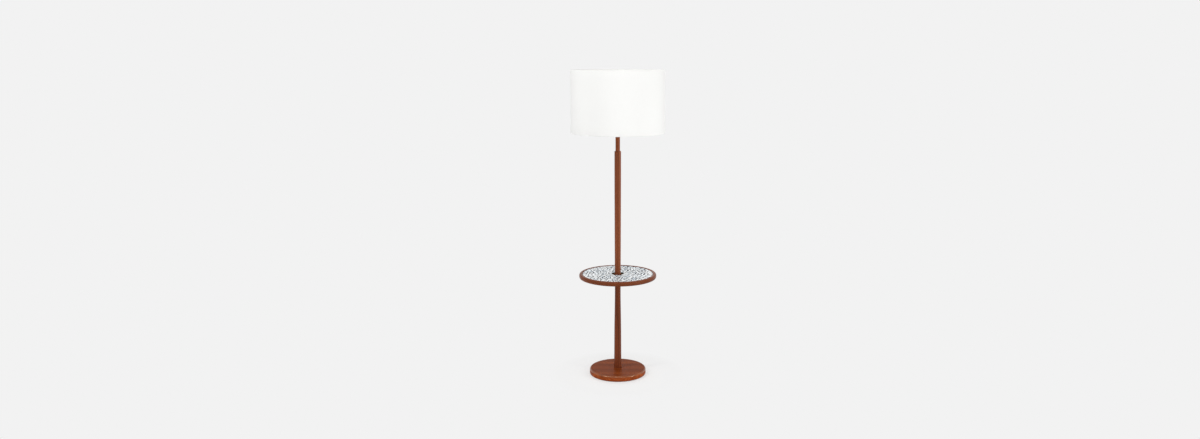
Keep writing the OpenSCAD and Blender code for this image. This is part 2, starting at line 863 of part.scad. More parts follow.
module led_board() {
    color(board) union() {
        disc(board_z, board_t, board_r);
        around(leds_n) translate([board_r * led_circle_share - led_w / 2, -led_w / 2, board_z + board_t / 2])
            cube([led_w, led_w, board_t / 2 + led_t]);
    }
}

module bulb_diffuser() {
    color(white) difference() {
        translate([0, 0, dome_z]) sphere(bulb_d / 2);
        translate([0, 0, dome_z]) sphere(bulb_d / 2 - diffuser_wall);
        disc(housing_top_z - bulb_d, bulb_d, bulb_d);
    }
}

module shade_fabric() {
    color(white) ring(shade_z, shade_h, fabric_r, liner_r);
}

module shade_liner() {
    color(white) ring(shade_z + hem_t, shade_h - 2 * hem_t, liner_r, liner_r - liner_t);
}

// The wire of one arm: out from the hub, then up to the ring
module arm_wire() {
    start = spider_hub_d / 2 - over;
    rise = lamp_h - ring_inset - arm_z;
    run = ring_r - knee_r;
    bar_x(start, knee_r - start - joint_trim, arm_z, arm_wire_d / 2);
    translate([knee_r, 0, arm_z]) {
        sphere(d = arm_wire_d * joint_bead_share);
        rotate([0, atan2(run, rise), 0])
            translate([0, 0, joint_trim]) cylinder(h = norm([run, rise]) - joint_trim, d = arm_wire_d);
    }
}

module ring_wire(z, d) {
    translate([0, 0, z]) rotate_extrude() translate([ring_r, 0]) circle(d = d);
}

// The tape folded round a ring, for the shade's edge at z; up is 1 for the top edge and -1 for the bottom one
module hem_tape(z, up) {
    rotate_extrude() polygon([[hem_r, z], [liner_r, z], [liner_r, z - up * hem_t],
        [hem_r + hem_t, z - up * hem_t], [hem_r + hem_t, z - up * hem_h], [hem_r, z - up * hem_h]]);
}

module hem_tapes() {
    notch_w = arm_wire_d + 2 * hem_t;
    notch_h = hem_h - ring_inset + over;
    color(white) {
        difference() {
            hem_tape(lamp_h, 1);
            around(arms_n, first_arm_a) translate([hem_r - over, -notch_w / 2, lamp_h - hem_h - over])
                cube([hem_t + 2 * over, notch_w, notch_h]);
        }
        hem_tape(shade_z, -1);
    }
}

module top_ring() {
    color(steel) ring_wire(lamp_h - ring_inset, ring_wire_d);
}

module bottom_ring() {
    color(steel) ring_wire(shade_z + ring_inset, ring_wire_d);
}

module spider_arms() {
    color(steel) difference() {
        around(arms_n, first_arm_a) arm_wire();
        disc(spider_z - spider_drop, 2 * spider_drop, spider_hub_d / 2);
        ring_wire(lamp_h - ring_inset, ring_wire_d + 2 * fit);
    }
}

module spider_hub() {
    color(steel) ring(spider_z, spider_hub_t, spider_hub_d / 2, stud_d / 2 + spider_bore_slip);
}

module finial() {
    ball_r = finial_ball_d / 2;
    color(brass) difference() {
        union() {
            disc(finial_z, finial_foot_h, finial_foot_d / 2);
            disc(finial_z, finial_h - ball_r, finial_stem_r);
            translate([0, 0, finial_z + finial_h - ball_r]) sphere(ball_r);
        }
        shave_top(finial_foot_d / 2, finial_z + finial_foot_h, finial_foot_h / 2);
        disc(finial_z - over, finial_deep + over, stud_d / 2 + finial_slip);
    }
}

felt_pad();
base_disc();
base_weight();
base_washer();
lock_washer();
base_nut();
cord_bushing();
lower_post();
lower_pipe();
pipe_coupling();
table_hub();
hub_screws();
table_core();
table_rim();
mosaic_bed();
mosaic_tiles();
upper_pipe();
upper_post();
neck();
check_ring();
harp_saddle();
harp_bow();
harp_stud();
left_sleeve();
right_sleeve();
socket_cap();
cap_screw();
socket_shell();
socket_liner();
socket_core();
thread_sleeve();
centre_contact();
terminal_screws();
switch_shaft();
switch_knob();
bulb_contact();
bulb_insulator();
bulb_cap();
bulb_housing();
driver_board();
led_board();
bulb_diffuser();
shade_fabric();
shade_liner();
hem_tapes();
top_ring();
bottom_ring();
spider_arms();
spider_hub();
finial();
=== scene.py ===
"""Dresses the floor lamp with table: the finish of every piece, and the pieces that are modelled more finely
than in the frame. Lengths are in metres. The post stands on the Z axis, and -Y is the front."""

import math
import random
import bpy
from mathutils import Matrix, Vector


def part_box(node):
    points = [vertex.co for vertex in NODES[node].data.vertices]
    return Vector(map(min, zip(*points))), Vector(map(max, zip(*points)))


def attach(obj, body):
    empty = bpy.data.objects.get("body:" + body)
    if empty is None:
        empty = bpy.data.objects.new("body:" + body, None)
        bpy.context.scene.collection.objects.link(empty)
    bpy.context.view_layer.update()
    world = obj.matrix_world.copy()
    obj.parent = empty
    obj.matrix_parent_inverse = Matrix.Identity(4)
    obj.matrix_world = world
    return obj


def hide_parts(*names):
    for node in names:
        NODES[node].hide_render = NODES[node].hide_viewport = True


bl_info = {
    "name": "Floor lamp with table",
    "version": (1, 0, 0),
    "blender": (4, 5, 0),
    "location": "View3D > Sidebar > Floor lamp",
    "description": "Finishes and fine pieces of a floor lamp with a mosaic table, built on its frame",
    "category": "Object",
}

import bpy
import numpy as np
from bpy.props import FloatProperty, FloatVectorProperty, IntProperty, PointerProperty
from mathutils import Matrix, Vector

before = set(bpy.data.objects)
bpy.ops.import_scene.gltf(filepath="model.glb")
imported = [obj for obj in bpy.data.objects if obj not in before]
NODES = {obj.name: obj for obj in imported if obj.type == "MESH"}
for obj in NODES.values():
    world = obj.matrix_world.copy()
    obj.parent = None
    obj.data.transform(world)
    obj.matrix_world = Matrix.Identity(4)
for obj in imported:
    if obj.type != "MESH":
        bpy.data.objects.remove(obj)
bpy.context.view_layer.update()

MM = 0.001
TURN = 2 * math.pi
WHITE = (1.0, 1.0, 1.0)

# Radius of a turned piece's ring at a pole, and the distance within which points are merged
POLE_R = 1e-6
MERGE = 4e-6

# Faces that turn less than this are rejoined, shaded as one, or shaded as one on a thread
FLAT_ANGLE = math.radians(0.6)
SMOOTH_ANGLE = math.radians(32)
THREAD_ANGLE = math.radians(50)

# Edges that turn more than this are rounded
ROUND_ANGLE = math.radians(35)

# Where the spider's arms stand round the post
ARM_TURNS = [math.pi / 2 + TURN * i / 3 for i in range(3)]


def srgb(red, green, blue):
    """A colour as a screen shows it, from 0 to 255, as the linear values that a shader takes."""
    parts = [part / 255 for part in (red, green, blue)]
    return tuple(((c + 0.055) / 1.055) ** 2.4 if c > 0.04045 else c / 12.92 for c in parts)


def colour(name, description, red, green, blue):
    """A colour property with its default given as a screen shows it."""
    return FloatVectorProperty(name=name, description=description, subtype="COLOR", size=3, min=0, max=1,
                               default=srgb(red, green, blue))


def length(name, description, value, low, high):
    """A length property in metres."""
    return FloatProperty(name=name, description=description, subtype="DISTANCE", unit="LENGTH",
                         default=value, min=low, max=high, precision=5)


def watts(name, description, value):
    """A property for the power of a light."""
    return FloatProperty(name=name, description=description, subtype="POWER", default=value, min=0, max=500)


class LampWood(bpy.types.PropertyGroup):
    """The stained walnut, the hub's darker colour, which is stain and partly painted shade, and the table's
    plywood.
    """
    deep: colour("Growth lines", "Darkest lines of the walnut's grain", 78, 36, 20)
    body: colour("Walnut", "Most of the walnut's surface", 129, 66, 38)
    light: colour("Light grain", "Lightest streaks of the walnut", 172, 97, 58)
    pore: colour("Pores", "The short dark pores in the walnut", 64, 33, 22)
    lacquer: colour("Lacquer", "Warm tint of the lacquer's shine", 255, 222, 190)
    # The hub's dark colour is partly painted shade, for the deep recess round the post where the hub shows
    hub: colour("Hub", "Dark stain of the table's hub", 62, 38, 30)
    plywood: colour("Plywood", "Face veneer of the table's core", 196, 164, 122)
    line_gap: length("Line gap", "Usual distance between growth lines", 5.5 * MM, 2 * MM, 12 * MM)


class LampMosaic(bpy.types.PropertyGroup):
    """The chips on the table and the grout between them."""
    chip_w: length("Chip width", "Usual width of a chip", 19 * MM, 7 * MM, 30 * MM)
    joint_w: length("Joint width", "Width of the grout joint between chips", 2.1 * MM, 0.5 * MM, 4 * MM)
    grout_sink: length("Grout depth", "How far the grout lies below the chips", 0.45 * MM, 0.1 * MM, 1 * MM)
    hole_r: length("Opening radius", "Radius of the opening round the post", 29.2 * MM, 22 * MM, 60 * MM)
    arris: length("Chip edge", "Width of a chip's softened edge", 0.35 * MM, 0.1 * MM, 1 * MM)
    seed: IntProperty(name="Seed", description="Another seed breaks the chips another way", default=7, min=0)
    white: colour("White chips", "Glaze of the whitest chips", 246, 250, 251)
    pale: colour("Pale blue chips", "Glaze of the palest blue chips", 230, 240, 246)
    blue: colour("Blue-grey chips", "Glaze of the darkest chips", 160, 176, 190)
    fleck: colour("Flecks", "Flecks inside a chip's glaze", 148, 160, 172)
    grout: colour("Grout", "Grout between the chips", 40, 43, 48)


class LampShade(bpy.types.PropertyGroup):
    """The drum shade's cloth, liner, seam and rolled edges."""
    cloth: colour("Cloth", "White cloth of the shade", 249, 249, 247)
    liner: colour("Liner", "Stiff white film inside the shade", 243, 243, 240)
    wire: colour("Wire", "Powder coat of the rings and the spider", 232, 232, 229)
    cloth_t: length("Cloth thickness", "Thickness of the cloth", 0.5 * MM, 0.2 * MM, 0.7 * MM)
    roll_r: length("Edge roll", "Radius of the edge that is rolled over a ring", 2.7 * MM, 2 * MM, 4 * MM)
    hem_h: length("Hem", "Depth of the cloth that is turned in at an edge", 12 * MM, 6 * MM, 20 * MM)
    seam_w: length("Seam width", "Width of the glued seam at the back", 12 * MM, 6 * MM, 20 * MM)
    threads: IntProperty(name="Threads", description="Number of upright threads round the shade",
                         default=2400, min=600, max=4000)


class LampFittings(bpy.types.PropertyGroup):
    """The metal, the plastic, the card, the felt and the bulb."""
    brass: colour("Brass", "Satin lacquered brass", 201, 163, 98)
    steel: colour("Steel", "Zinc-plated steel", 186, 188, 190)
    iron: colour("Iron", "Bare cast weight", 52, 52, 55)
    black: colour("Black plastic", "Knob, socket core and bushing", 24, 24, 25)
    bulb: colour("Bulb", "Frosted dome of the bulb", 240, 240, 236)
    housing: colour("Housing", "White housing of the bulb", 236, 236, 233)
    card: colour("Card", "Card sleeve in the socket", 206, 194, 164)
    felt: colour("Felt", "Felt under the base", 46, 36, 31)
    thread_pitch: length("Thread pitch", "Rise of the socket's thread in one turn",
                         3.63 * MM, 2 * MM, 5 * MM)


class LampStage(bpy.types.PropertyGroup):
    """The pale floor, the backdrop and the studio lights."""
    page: colour("Backdrop", "Colour of the floor and the backdrop", 242, 242, 242)
    near: colour("Floor near", "Colour that lifts the floor's shadow next to the base", 247, 247, 247)
    sky: FloatProperty(name="Sky", description="Strength of the light from all round",
                       default=0.51, min=0, max=2)
    key: watts("Key light", "Power of the wide soft light on the left", 48)
    strip: watts("Strip light", "Power of the tall narrow light on the right", 36)
    overhead: watts("Overhead light", "Power of the soft light over the lamp", 50)
    back: watts("Back light", "Power of the weak light behind the lamp", 24)


class Tree:
    """A node tree that starts empty, and short ways to add its nodes."""

    def __init__(self, tree):
        self.tree = tree
        self.tree.nodes.clear()

    def put(self, socket, value):
        """Links a socket, or sets its value."""
        if isinstance(value, bpy.types.NodeSocket):
            self.tree.links.new(value, socket)
        elif socket.type == "RGBA" and len(value) == 3:
            socket.default_value = (*value, 1)
        else:
            socket.default_value = value

    def add(self, kind, settings=None, **inputs):
        """A new node; an input is named by its socket, with _ for a space, or by _ and its number."""
        node = self.tree.nodes.new(kind)
        for key, value in (settings or {}).items():
            setattr(node, key, value)
        for key, value in inputs.items():
            name = int(key[1:]) if key[0] == "_" else key.replace("_", " ")
            self.put(node.inputs[name], value)
        return node

    def place(self, scale=(1, 1, 1), turn=(0, 0, 0), start=None):
        """The piece's own coordinates, or start, turned and then stretched."""
        start = start or self.add("ShaderNodeTexCoord").outputs["Object"]
        return self.add("ShaderNodeMapping", Vector=start, Rotation=turn, Scale=scale).outputs["Vector"]

    def split(self, vector):
        """The three coordinates of a vector."""
        return self.add("ShaderNodeSeparateXYZ", Vector=vector).outputs

    def join(self, x, y, z):
        """A vector from three coordinates."""
        return self.add("ShaderNodeCombineXYZ", X=x, Y=y, Z=z).outputs["Vector"]

    def maths(self, kind, a, b=0.0, c=0.0):
        """One step of arithmetic."""
        return self.add("ShaderNodeMath", {"operation": kind}, _0=a, _1=b, _2=c).outputs["Value"]

    def times(self, a, b):
        """The product of two values."""
        return self.maths("MULTIPLY", a, b)

    def blend(self, *parts):
        """The sum of (value, share) pairs."""
        total = 0.0
        for value, share in parts:
            total = self.maths("MULTIPLY_ADD", value, share, total)
        return total

    def reach(self, x, y):
        """The distance of x and y from the Z axis."""
        return self.maths("SQRT", self.maths("ADD", self.times(x, x), self.times(y, y)))

    def noise(self, vector, scale, detail=2.0, roughness=0.5, distortion=0.0):
        """Soft noise from 0 to 1; scale is in features to a unit of the vector."""
        return self.add("ShaderNodeTexNoise", Vector=vector, Scale=scale, Detail=detail, Roughness=roughness,
                        Distortion=distortion).outputs["Fac"]

    def borders(self, vector, scale):
        """The distance to the nearest border between cells; scale is in cells to a unit of the vector."""
        return self.add("ShaderNodeTexVoronoi", {"feature": "DISTANCE_TO_EDGE"}, Vector=vector,
                        Scale=scale).outputs["Distance"]

    def span(self, value, low, high, to_low=0.0, to_high=1.0):
        """The value spread from one range to another, and held at its ends."""
        return self.add("ShaderNodeMapRange", _0=value, _1=low, _2=high, _3=to_low, _4=to_high).outputs[0]

    def mix(self, share, a, b, way="MIX"):
        """Two colours mixed."""
        settings = {"data_type": "RGBA", "blend_type": way}
        return self.add("ShaderNodeMix", settings, _0=share, _6=a, _7=b).outputs[2]

    def ramp(self, value, *stops):
        """A colour ramp with (place, colour) stops."""
        node = self.add("ShaderNodeValToRGB", _0=value)
        elements = node.color_ramp.elements
        while len(elements) < len(stops):
            elements.new(0.5)
        for element, (place, tone) in zip(elements, stops):
            element.position = place
            element.color = (*tone, 1)
        return node.outputs["Color"]

    def cover(self, share, under, over):
        """One shader mixed over another."""
        return self.add("ShaderNodeMixShader", _0=share, _1=under, _2=over).outputs[0]

    def seen(self):
        """1 where the camera looks, also in a reflection or through glass, and 0 where light is gathered."""
        rays = self.add("ShaderNodeLightPath").outputs
        direct = self.maths("MAXIMUM", rays["Is Camera Ray"], rays["Is Glossy Ray"])
        return self.maths("MAXIMUM", direct, rays["Is Transmission Ray"])


class Finish(Tree):
    """A material, with its shader and its output."""

    def __init__(self, name):
        self.material = bpy.data.materials.new(name)
        self.material.use_nodes = True
        super().__init__(self.material.node_tree)
        self.shader = self.add("ShaderNodeBsdfPrincipled")
        self.output = self.add("ShaderNodeOutputMaterial", Surface=self.shader.outputs["BSDF"])

    def surface(self, **inputs):
        """Sets or links the shader's own sockets."""
        for key, value in inputs.items():
            self.put(self.shader.inputs[key.replace("_", " ")], value)
        return self

    def bump(self, height, depth, strength):
        """Raises the surface by height times depth, in metres."""
        bump = self.add("ShaderNodeBump", Height=height, Distance=depth, Strength=strength)
        return self.surface(Normal=bump.outputs["Normal"])


def only(piece):
    """Deselects everything, then selects the piece and makes it active."""
    bpy.ops.object.select_all(action="DESELECT")
    piece.select_set(True)
    bpy.context.view_layer.objects.active = piece


def edit(piece, mode="VERT"):
    """Opens a piece in edit mode with everything in it deselected."""
    only(piece)
    bpy.ops.object.mode_set(mode="EDIT")
    bpy.ops.mesh.select_mode(type=mode)
    bpy.ops.mesh.select_all(action="DESELECT")


def done():
    """Back to object mode."""
    bpy.ops.object.mode_set(mode="OBJECT")


def pick(piece, test, mode="FACE"):
    """Opens a piece in edit mode, with the faces or vertices selected whose middle passes the test."""
    edit(piece, mode)
    done()
    if mode == "FACE":
        for face in piece.data.polygons:
            face.select = bool(test(face.center))
    else:
        for vertex in piece.data.vertices:
            vertex.select = bool(test(vertex.co))
    bpy.ops.object.mode_set(mode="EDIT")


def smooth(piece, angle=SMOOTH_ANGLE):
    """Smooth shading, with edges kept where the faces turn sharply."""
    only(piece)
    bpy.ops.object.shade_smooth_by_angle(angle=angle)


def modify(piece, kind, **settings):
    """Adds a modifier and applies it."""
    only(piece)
    modifier = piece.modifiers.new(kind.title(), kind)
    for key, value in settings.items():
        setattr(modifier, key, value)
    bpy.ops.object.modifier_apply(modifier=modifier.name)


def arc(r, z, radius, start, end, steps):
    """Points of an arc round (r, z), from one angle in degrees to another, 0 outwards and 90 up."""
    turns = [math.radians(start + (end - start) * i / steps) for i in range(steps + 1)]
    return [(r + radius * math.cos(a), z + radius * math.sin(a)) for a in turns]


def lathe(name, outline, segments):
    """A turned piece on the Z axis: a ring of points pulled along an outline of (radius, height) points."""
    bpy.ops.object.select_all(action="DESELECT")
    radius, height = outline[0]
    bpy.ops.mesh.primitive_circle_add(vertices=segments, radius=max(radius, POLE_R), location=(0, 0, height))
    piece = bpy.context.object
    piece.name = piece.data.name = name
    bpy.ops.object.transform_apply(location=True, rotation=True, scale=True)
    edit(piece)
    bpy.ops.mesh.select_all(action="SELECT")
    for (r0, z0), (r1, z1) in zip(outline, outline[1:]):
        bpy.ops.mesh.extrude_region_move(TRANSFORM_OT_translate={"value": (0, 0, z1 - z0)})
        grow = max(r1, POLE_R) / max(r0, POLE_R)
        bpy.ops.transform.resize(value=(grow, grow, 1), center_override=(0, 0, z1))
    bpy.ops.mesh.select_all(action="SELECT")
    bpy.ops.mesh.remove_doubles(threshold=MERGE)
    bpy.ops.mesh.normals_make_consistent(inside=False)
    done()
    return piece


def copy_of(piece, name, matrix=Matrix.Identity(4)):
    """A copy with its own mesh, moved by the matrix."""
    twin = bpy.data.objects.new(name, piece.data.copy())
    bpy.context.scene.collection.objects.link(twin)
    twin.data.transform(matrix)
    return twin


def together(name, pieces):
    """Joins pieces into one."""
    only(pieces[0])
    for piece in pieces[1:]:
        piece.select_set(True)
    bpy.ops.object.join()
    pieces[0].name = pieces[0].data.name = name
    return pieces[0]


def softened(node, name, width, segments=2):
    """A copy of a frame node with its flat faces rejoined and its sharp edges rounded."""
    piece = copy_of(NODES[node], name)
    edit(piece)
    bpy.ops.mesh.select_all(action="SELECT")
    bpy.ops.mesh.remove_doubles(threshold=MERGE)
    bpy.ops.mesh.dissolve_limited(angle_limit=FLAT_ANGLE)
    done()
    modify(piece, "BEVEL", width=width, segments=segments, limit_method="ANGLE", angle_limit=ROUND_ANGLE)
    smooth(piece)
    return piece


def threaded(piece, pitch, depth, low_z, high_z, fade):
    """Rolls a rounded thread into the wall of a turned piece between two heights, fading at both ends."""
    for vertex in piece.data.vertices:
        x, y, z = vertex.co
        radius = math.hypot(x, y)
        hold = min(1, max(0, (z - low_z) / fade)) * min(1, max(0, (high_z - z) / fade))
        wave = 0.5 - 0.5 * math.cos(TURN * (z / pitch - math.atan2(y, x) / TURN))
        if radius > 0 and hold > 0:
            shrink = 1 - depth * hold * wave / radius
            vertex.co = (x * shrink, y * shrink, z)
    smooth(piece, THREAD_ANGLE)


def mount(piece, body, slot, material, *stands_for):
    """Gives a finished piece its material and its body, and hides the frame nodes that it stands for. The
    slot is not used.
    """
    piece.data.materials.clear()
    piece.data.materials.append(material)
    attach(piece, body)
    if stands_for:
        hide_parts(*stands_for)


def dress(material, *nodes):
    """Gives frame nodes a material."""
    for node in nodes:
        NODES[node].data.materials.clear()
        NODES[node].data.materials.append(material)


def shaded(tone, share):
    """A colour times a share: darker under 1, lighter over it."""
    return [c * share for c in tone]


def walnut(look, name, grain, lean, tone, edge=None, stripe_w=10 * MM, gloss=0.26):
    """Walnut under a satin lacquer. The grain vector is in metres, with its Z along the fibres, lean turns
    the growth layers about the fibres, and tone scales this piece's colour: a board's own tone, and on the
    lower post painted shade. Edge is the radius and the height of a round board whose upper edge is rubbed
    glossy and whose flank is coloured lighter than its top, as painted light from the front.
    Stripe_w is the usual width of a stripe of darker wood, and gloss is how strongly the lacquer shines."""
    finish = Finish(name)
    stains = (look.deep, look.body, look.light)
    deep, body, light = ([c * t for c, t in zip(stain, tone)] for stain in stains)
    vector = grain(finish)

    def drawn_out(share, turn=0.0):
        """The grain turned about its fibres, with a pattern's length as its width over the share."""
        return finish.place((1, 1, share), (0, 0, turn), vector)

    # Bands of scale 1 are 0.314 m apart, and the lines sway about once in twelve
    band_scale = 0.314 / look.line_gap
    sway_scale = 0.084 / look.line_gap
    layers = drawn_out(0.055, lean)
    fibres = drawn_out(0.02)
    bands = finish.add("ShaderNodeTexWave", {"wave_type": "BANDS", "wave_profile": "SAW"}, Vector=layers,
                       Scale=band_scale, Distortion=5.5, Detail=2.5, Detail_Scale=0.55,
                       Detail_Roughness=0.55).outputs["Fac"]
    sway = finish.noise(layers, sway_scale)
    stripe = finish.noise(drawn_out(0.012, lean), 1 / stripe_w, detail=1.0)
    streak = finish.noise(fibres, 260, detail=3.0, roughness=0.6)
    fine = finish.noise(fibres, 1500, roughness=0.6)
    figure = finish.blend((bands, 0.22), (sway, 0.30), (stripe, 0.62), (streak, 0.28), (fine, 0.10))
    wood = finish.ramp(figure, (0.48, deep), (0.70, body), (0.82, body), (1.0, light))
    pores = finish.span(finish.noise(drawn_out(0.045), 1900), 0.62, 0.70)
    pore_strength = 0.55
    wood = finish.mix(finish.times(pores, pore_strength), wood, look.pore)
    rubbed = 0.0
    rubbed_smoother = 0.15
    if edge:
        radius, height = edge
        rim_start, rim_full = radius - 5.5 * MM, radius - 3 * MM
        rub_start, rub_full = height - 8 * MM, height - 5 * MM
        # Painted light: the flank below the rounded edge is coloured lighter than the top, as a light from
        # the front would fall on it
        painted_light_full_z, painted_light_end_z = height - 7 * MM, height - 4 * MM
        flat_gloss, rubbed_gloss = 0.03, 1.0
        painted_light_tone = (1.40, 1.38, 1.65)
        x, y, z = finish.split(finish.place())
        rim = finish.span(finish.reach(x, y), rim_start, rim_full)
        rubbed = finish.times(rim, finish.span(z, rub_start, rub_full))
        gloss = finish.span(rubbed, 0, 1, flat_gloss, rubbed_gloss)
        painted_light_flank = finish.times(rim, finish.span(z, painted_light_full_z, painted_light_end_z, 1, 0))
        wood = finish.mix(painted_light_flank, wood, painted_light_tone, "MULTIPLY")
    satin = finish.span(streak, 0.2, 0.8, 0.34, 0.44)
    satin = finish.maths("SUBTRACT", satin, finish.times(rubbed, rubbed_smoother))
    finish.surface(Base_Color=wood, Roughness=satin, Specular_IOR_Level=gloss, Specular_Tint=look.lacquer)
    dips = finish.maths("SUBTRACT", finish.times(fine, 0.4), pores)
    return finish.bump(dips, depth=0.05 * MM, strength=0.5).material


def upright(finish):
    """Fibres along the post."""
    return finish.place()


def level(finish):
    """Fibres along X, and growth layers that lie nearly flat."""
    x, y, z = finish.split(finish.place())
    return finish.join(z, y, x)


def ringwise(radius):
    """Fibres that run round the rim."""
    def grain(finish):
        x, y, z = finish.split(finish.place())
        along = finish.times(finish.maths("ARCTAN2", x, y), radius)
        return finish.join(finish.reach(x, y), z, along)
    return grain


def hub_stain_and_shade(look):
    """The hub's dark matt stain, made darker as partly painted shade for the deep recess round the post
    where the hub shows.
    """
    finish = Finish("stained_walnut_and_painted_shade")
    fibres = finish.noise(finish.place((1, 0.03, 1)), 500, detail=3.0)
    wood = finish.mix(fibres, look.pore, look.hub)
    finish.surface(Base_Color=wood, Roughness=0.55)
    return finish.bump(fibres, depth=0.03 * MM, strength=0.4).material


def plywood(look):
    """Birch veneer, with its plies on the edges."""
    finish = Finish("birch_plywood")
    two_plies = 2.6 * MM
    figure = finish.noise(finish.place((0.04, 1, 1)), 90, detail=3.0, roughness=0.55, distortion=0.4)
    veneer = finish.mix(figure, shaded(look.plywood, 0.78), look.plywood)
    height = finish.split(finish.place())[2]
    plies = finish.span(finish.maths("SINE", finish.times(height, TURN / two_plies)), -0.3, 0.3)
    normal = finish.split(finish.add("ShaderNodeNewGeometry").outputs["Normal"])[2]
    side = finish.span(finish.maths("ABSOLUTE", normal), 0.3, 0.7, 1, 0)
    veneer = finish.mix(finish.times(side, plies), veneer, shaded(look.plywood, 0.45))
    finish.surface(Base_Color=veneer, Roughness=0.62)
    return finish.bump(figure, depth=0.04 * MM, strength=0.4).material


def metal(name, tone, roughness, grain=(1, 1, 1), scale=900, depth=0.006 * MM):
    """Bare or lacquered metal with fine marks of its making, stretched by grain."""
    finish = Finish(name)
    marks = finish.noise(finish.place(grain), scale, detail=3.0, roughness=0.6)
    cloud = finish.noise(finish.place(), 60)
    satin = finish.span(marks, 0.25, 0.75, roughness * 0.8, roughness * 1.25)
    finish.surface(Base_Color=finish.mix(cloud, shaded(tone, 0.9), tone), Metallic=1.0, Roughness=satin)
    return finish.bump(marks, depth, strength=0.35).material


def plastic(name, tone, roughness, speck=0.03, coat=0.0):
    """Moulded plastic with a faint texture; speck is how much its tone varies."""
    finish = Finish(name)
    grit = finish.noise(finish.place(), 1400)
    flow = finish.noise(finish.place(), 45)
    satin = finish.span(grit, 0.2, 0.8, roughness * 0.85, roughness * 1.15)
    shade = finish.mix(flow, shaded(tone, 1 - 2 * speck), tone)
    finish.surface(Base_Color=shade, Coat_Weight=coat, Roughness=satin)
    return finish.bump(grit, depth=0.01 * MM, strength=0.35).material


def felt(look):
    """Pressed felt with loose hairs."""
    finish = Finish("brown_felt")
    hairs = finish.noise(finish.place(), 420, detail=5.0, roughness=0.7, distortion=1.2)
    shade = finish.mix(hairs, shaded(look.felt, 0.6), shaded(look.felt, 1.7))
    finish.surface(Base_Color=shade, Roughness=0.95, Sheen_Weight=0.35, Sheen_Roughness=0.5)
    return finish.bump(hairs, depth=0.5 * MM, strength=0.8).material


def card(look):
    """Pressed card."""
    finish = Finish("pressed_card")
    pulp = finish.noise(finish.place(), 700, detail=4.0, roughness=0.65)
    finish.surface(Base_Color=finish.mix(pulp, shaded(look.card, 0.8), look.card), Roughness=0.85)
    return finish.bump(pulp, depth=0.05 * MM, strength=0.5).material


def board_lacquer(name, tone):
    """A circuit board's lacquer, with its copper paths showing through."""
    finish = Finish(name)
    paths = finish.span(finish.borders(finish.place(), 420), 0.02, 0.06)
    finish.surface(Base_Color=finish.mix(paths, shaded(tone, 0.7), tone), Roughness=0.4)
    return finish.bump(paths, depth=0.03 * MM, strength=0.4).material


def glaze(look):
    """The chips' glaze, in the tone that each chip carries, with flecks and fine crackle."""
    finish = Finish("mosaic_glaze")
    tone = finish.add("ShaderNodeAttribute", {"attribute_name": "chip_tone"}).outputs["Fac"]
    chip = finish.ramp(tone, (0.0, look.blue), (0.22, look.pale), (0.6, look.white), (1.0, look.white))
    cloud = finish.noise(finish.place(), 260, detail=3.0, roughness=0.6)
    chip = finish.mix(finish.span(cloud, 0.52, 0.72, 0, 0.55), chip, look.pale)
    spots = finish.noise(finish.place((1, 0.35, 1)), 620, detail=3.0, roughness=0.65, distortion=1.5)
    fleck_strength = 0.55
    flecks = finish.times(finish.span(spots, 0.60, 0.68), fleck_strength)
    chip = finish.mix(flecks, chip, look.fleck)
    crackle = finish.span(finish.borders(finish.place(), 700), 0.0, 0.05)
    finish.surface(Base_Color=chip, Roughness=finish.span(cloud, 0.3, 0.7, 0.22, 0.34),
                   Coat_Weight=0.4, Coat_Roughness=0.08)
    return finish.bump(crackle, depth=0.02 * MM, strength=0.3).material


def grout(look):
    """Sandy grout."""
    finish = Finish("grey_grout")
    sand = finish.noise(finish.place(), 1500, detail=4.0, roughness=0.7)
    shade = finish.mix(sand, shaded(look.grout, 0.7), shaded(look.grout, 1.25))
    finish.surface(Base_Color=shade, Roughness=0.9)
    return finish.bump(sand, depth=0.25 * MM, strength=0.7).material


def cloth(look, name, radius):
    """Plain-woven cloth bonded to the shade: threads by the angle round the post and by height."""
    finish = Finish(name)
    x, y, z = finish.split(finish.place())
    turn = finish.maths("ARCTAN2", x, finish.times(y, -1.0))
    pitch = TURN * radius / look.threads
    upright_thread = finish.maths("SINE", finish.times(turn, look.threads / 2))
    level_thread = finish.maths("SINE", finish.times(z, math.pi / pitch))
    over = finish.maths("GREATER_THAN", finish.times(upright_thread, level_thread), 0.0)
    high = finish.maths("ABSOLUTE", upright_thread)
    low = finish.maths("ABSOLUTE", level_thread)
    weave = finish.add("ShaderNodeMix", {"data_type": "FLOAT"}, _0=over, _2=low, _3=high).outputs[0]
    level_share, upright_share = 0.06, 0.05
    along = finish.join(finish.times(turn, radius * level_share), 0.0, z)
    level_slubs = finish.noise(along, 900, detail=3.0, roughness=0.6)
    upward = finish.join(finish.times(turn, radius), 0.0, finish.times(z, upright_share))
    upright_slubs = finish.noise(upward, 700, detail=3.0, roughness=0.6)
    slubs = finish.blend((level_slubs, 0.5), (upright_slubs, 0.5))
    tone = finish.blend((weave, 0.35), (slubs, 0.9))
    shade = finish.mix(finish.span(tone, 0.25, 0.9), shaded(look.cloth, 0.93), look.cloth)
    finish.surface(Base_Color=shade, Roughness=0.88, Sheen_Weight=0.15, Sheen_Roughness=0.6)
    return finish.bump(finish.maths("ADD", weave, slubs), depth=0.12 * MM, strength=0.45).material


def film(look):
    """The liner's smooth stiff film."""
    finish = Finish("liner_film")
    ripple = finish.noise(finish.place(), 14)
    finish.surface(Base_Color=finish.mix(ripple, shaded(look.liner, 0.97), look.liner), Roughness=0.5)
    return finish.bump(ripple, depth=0.3 * MM, strength=0.15).material


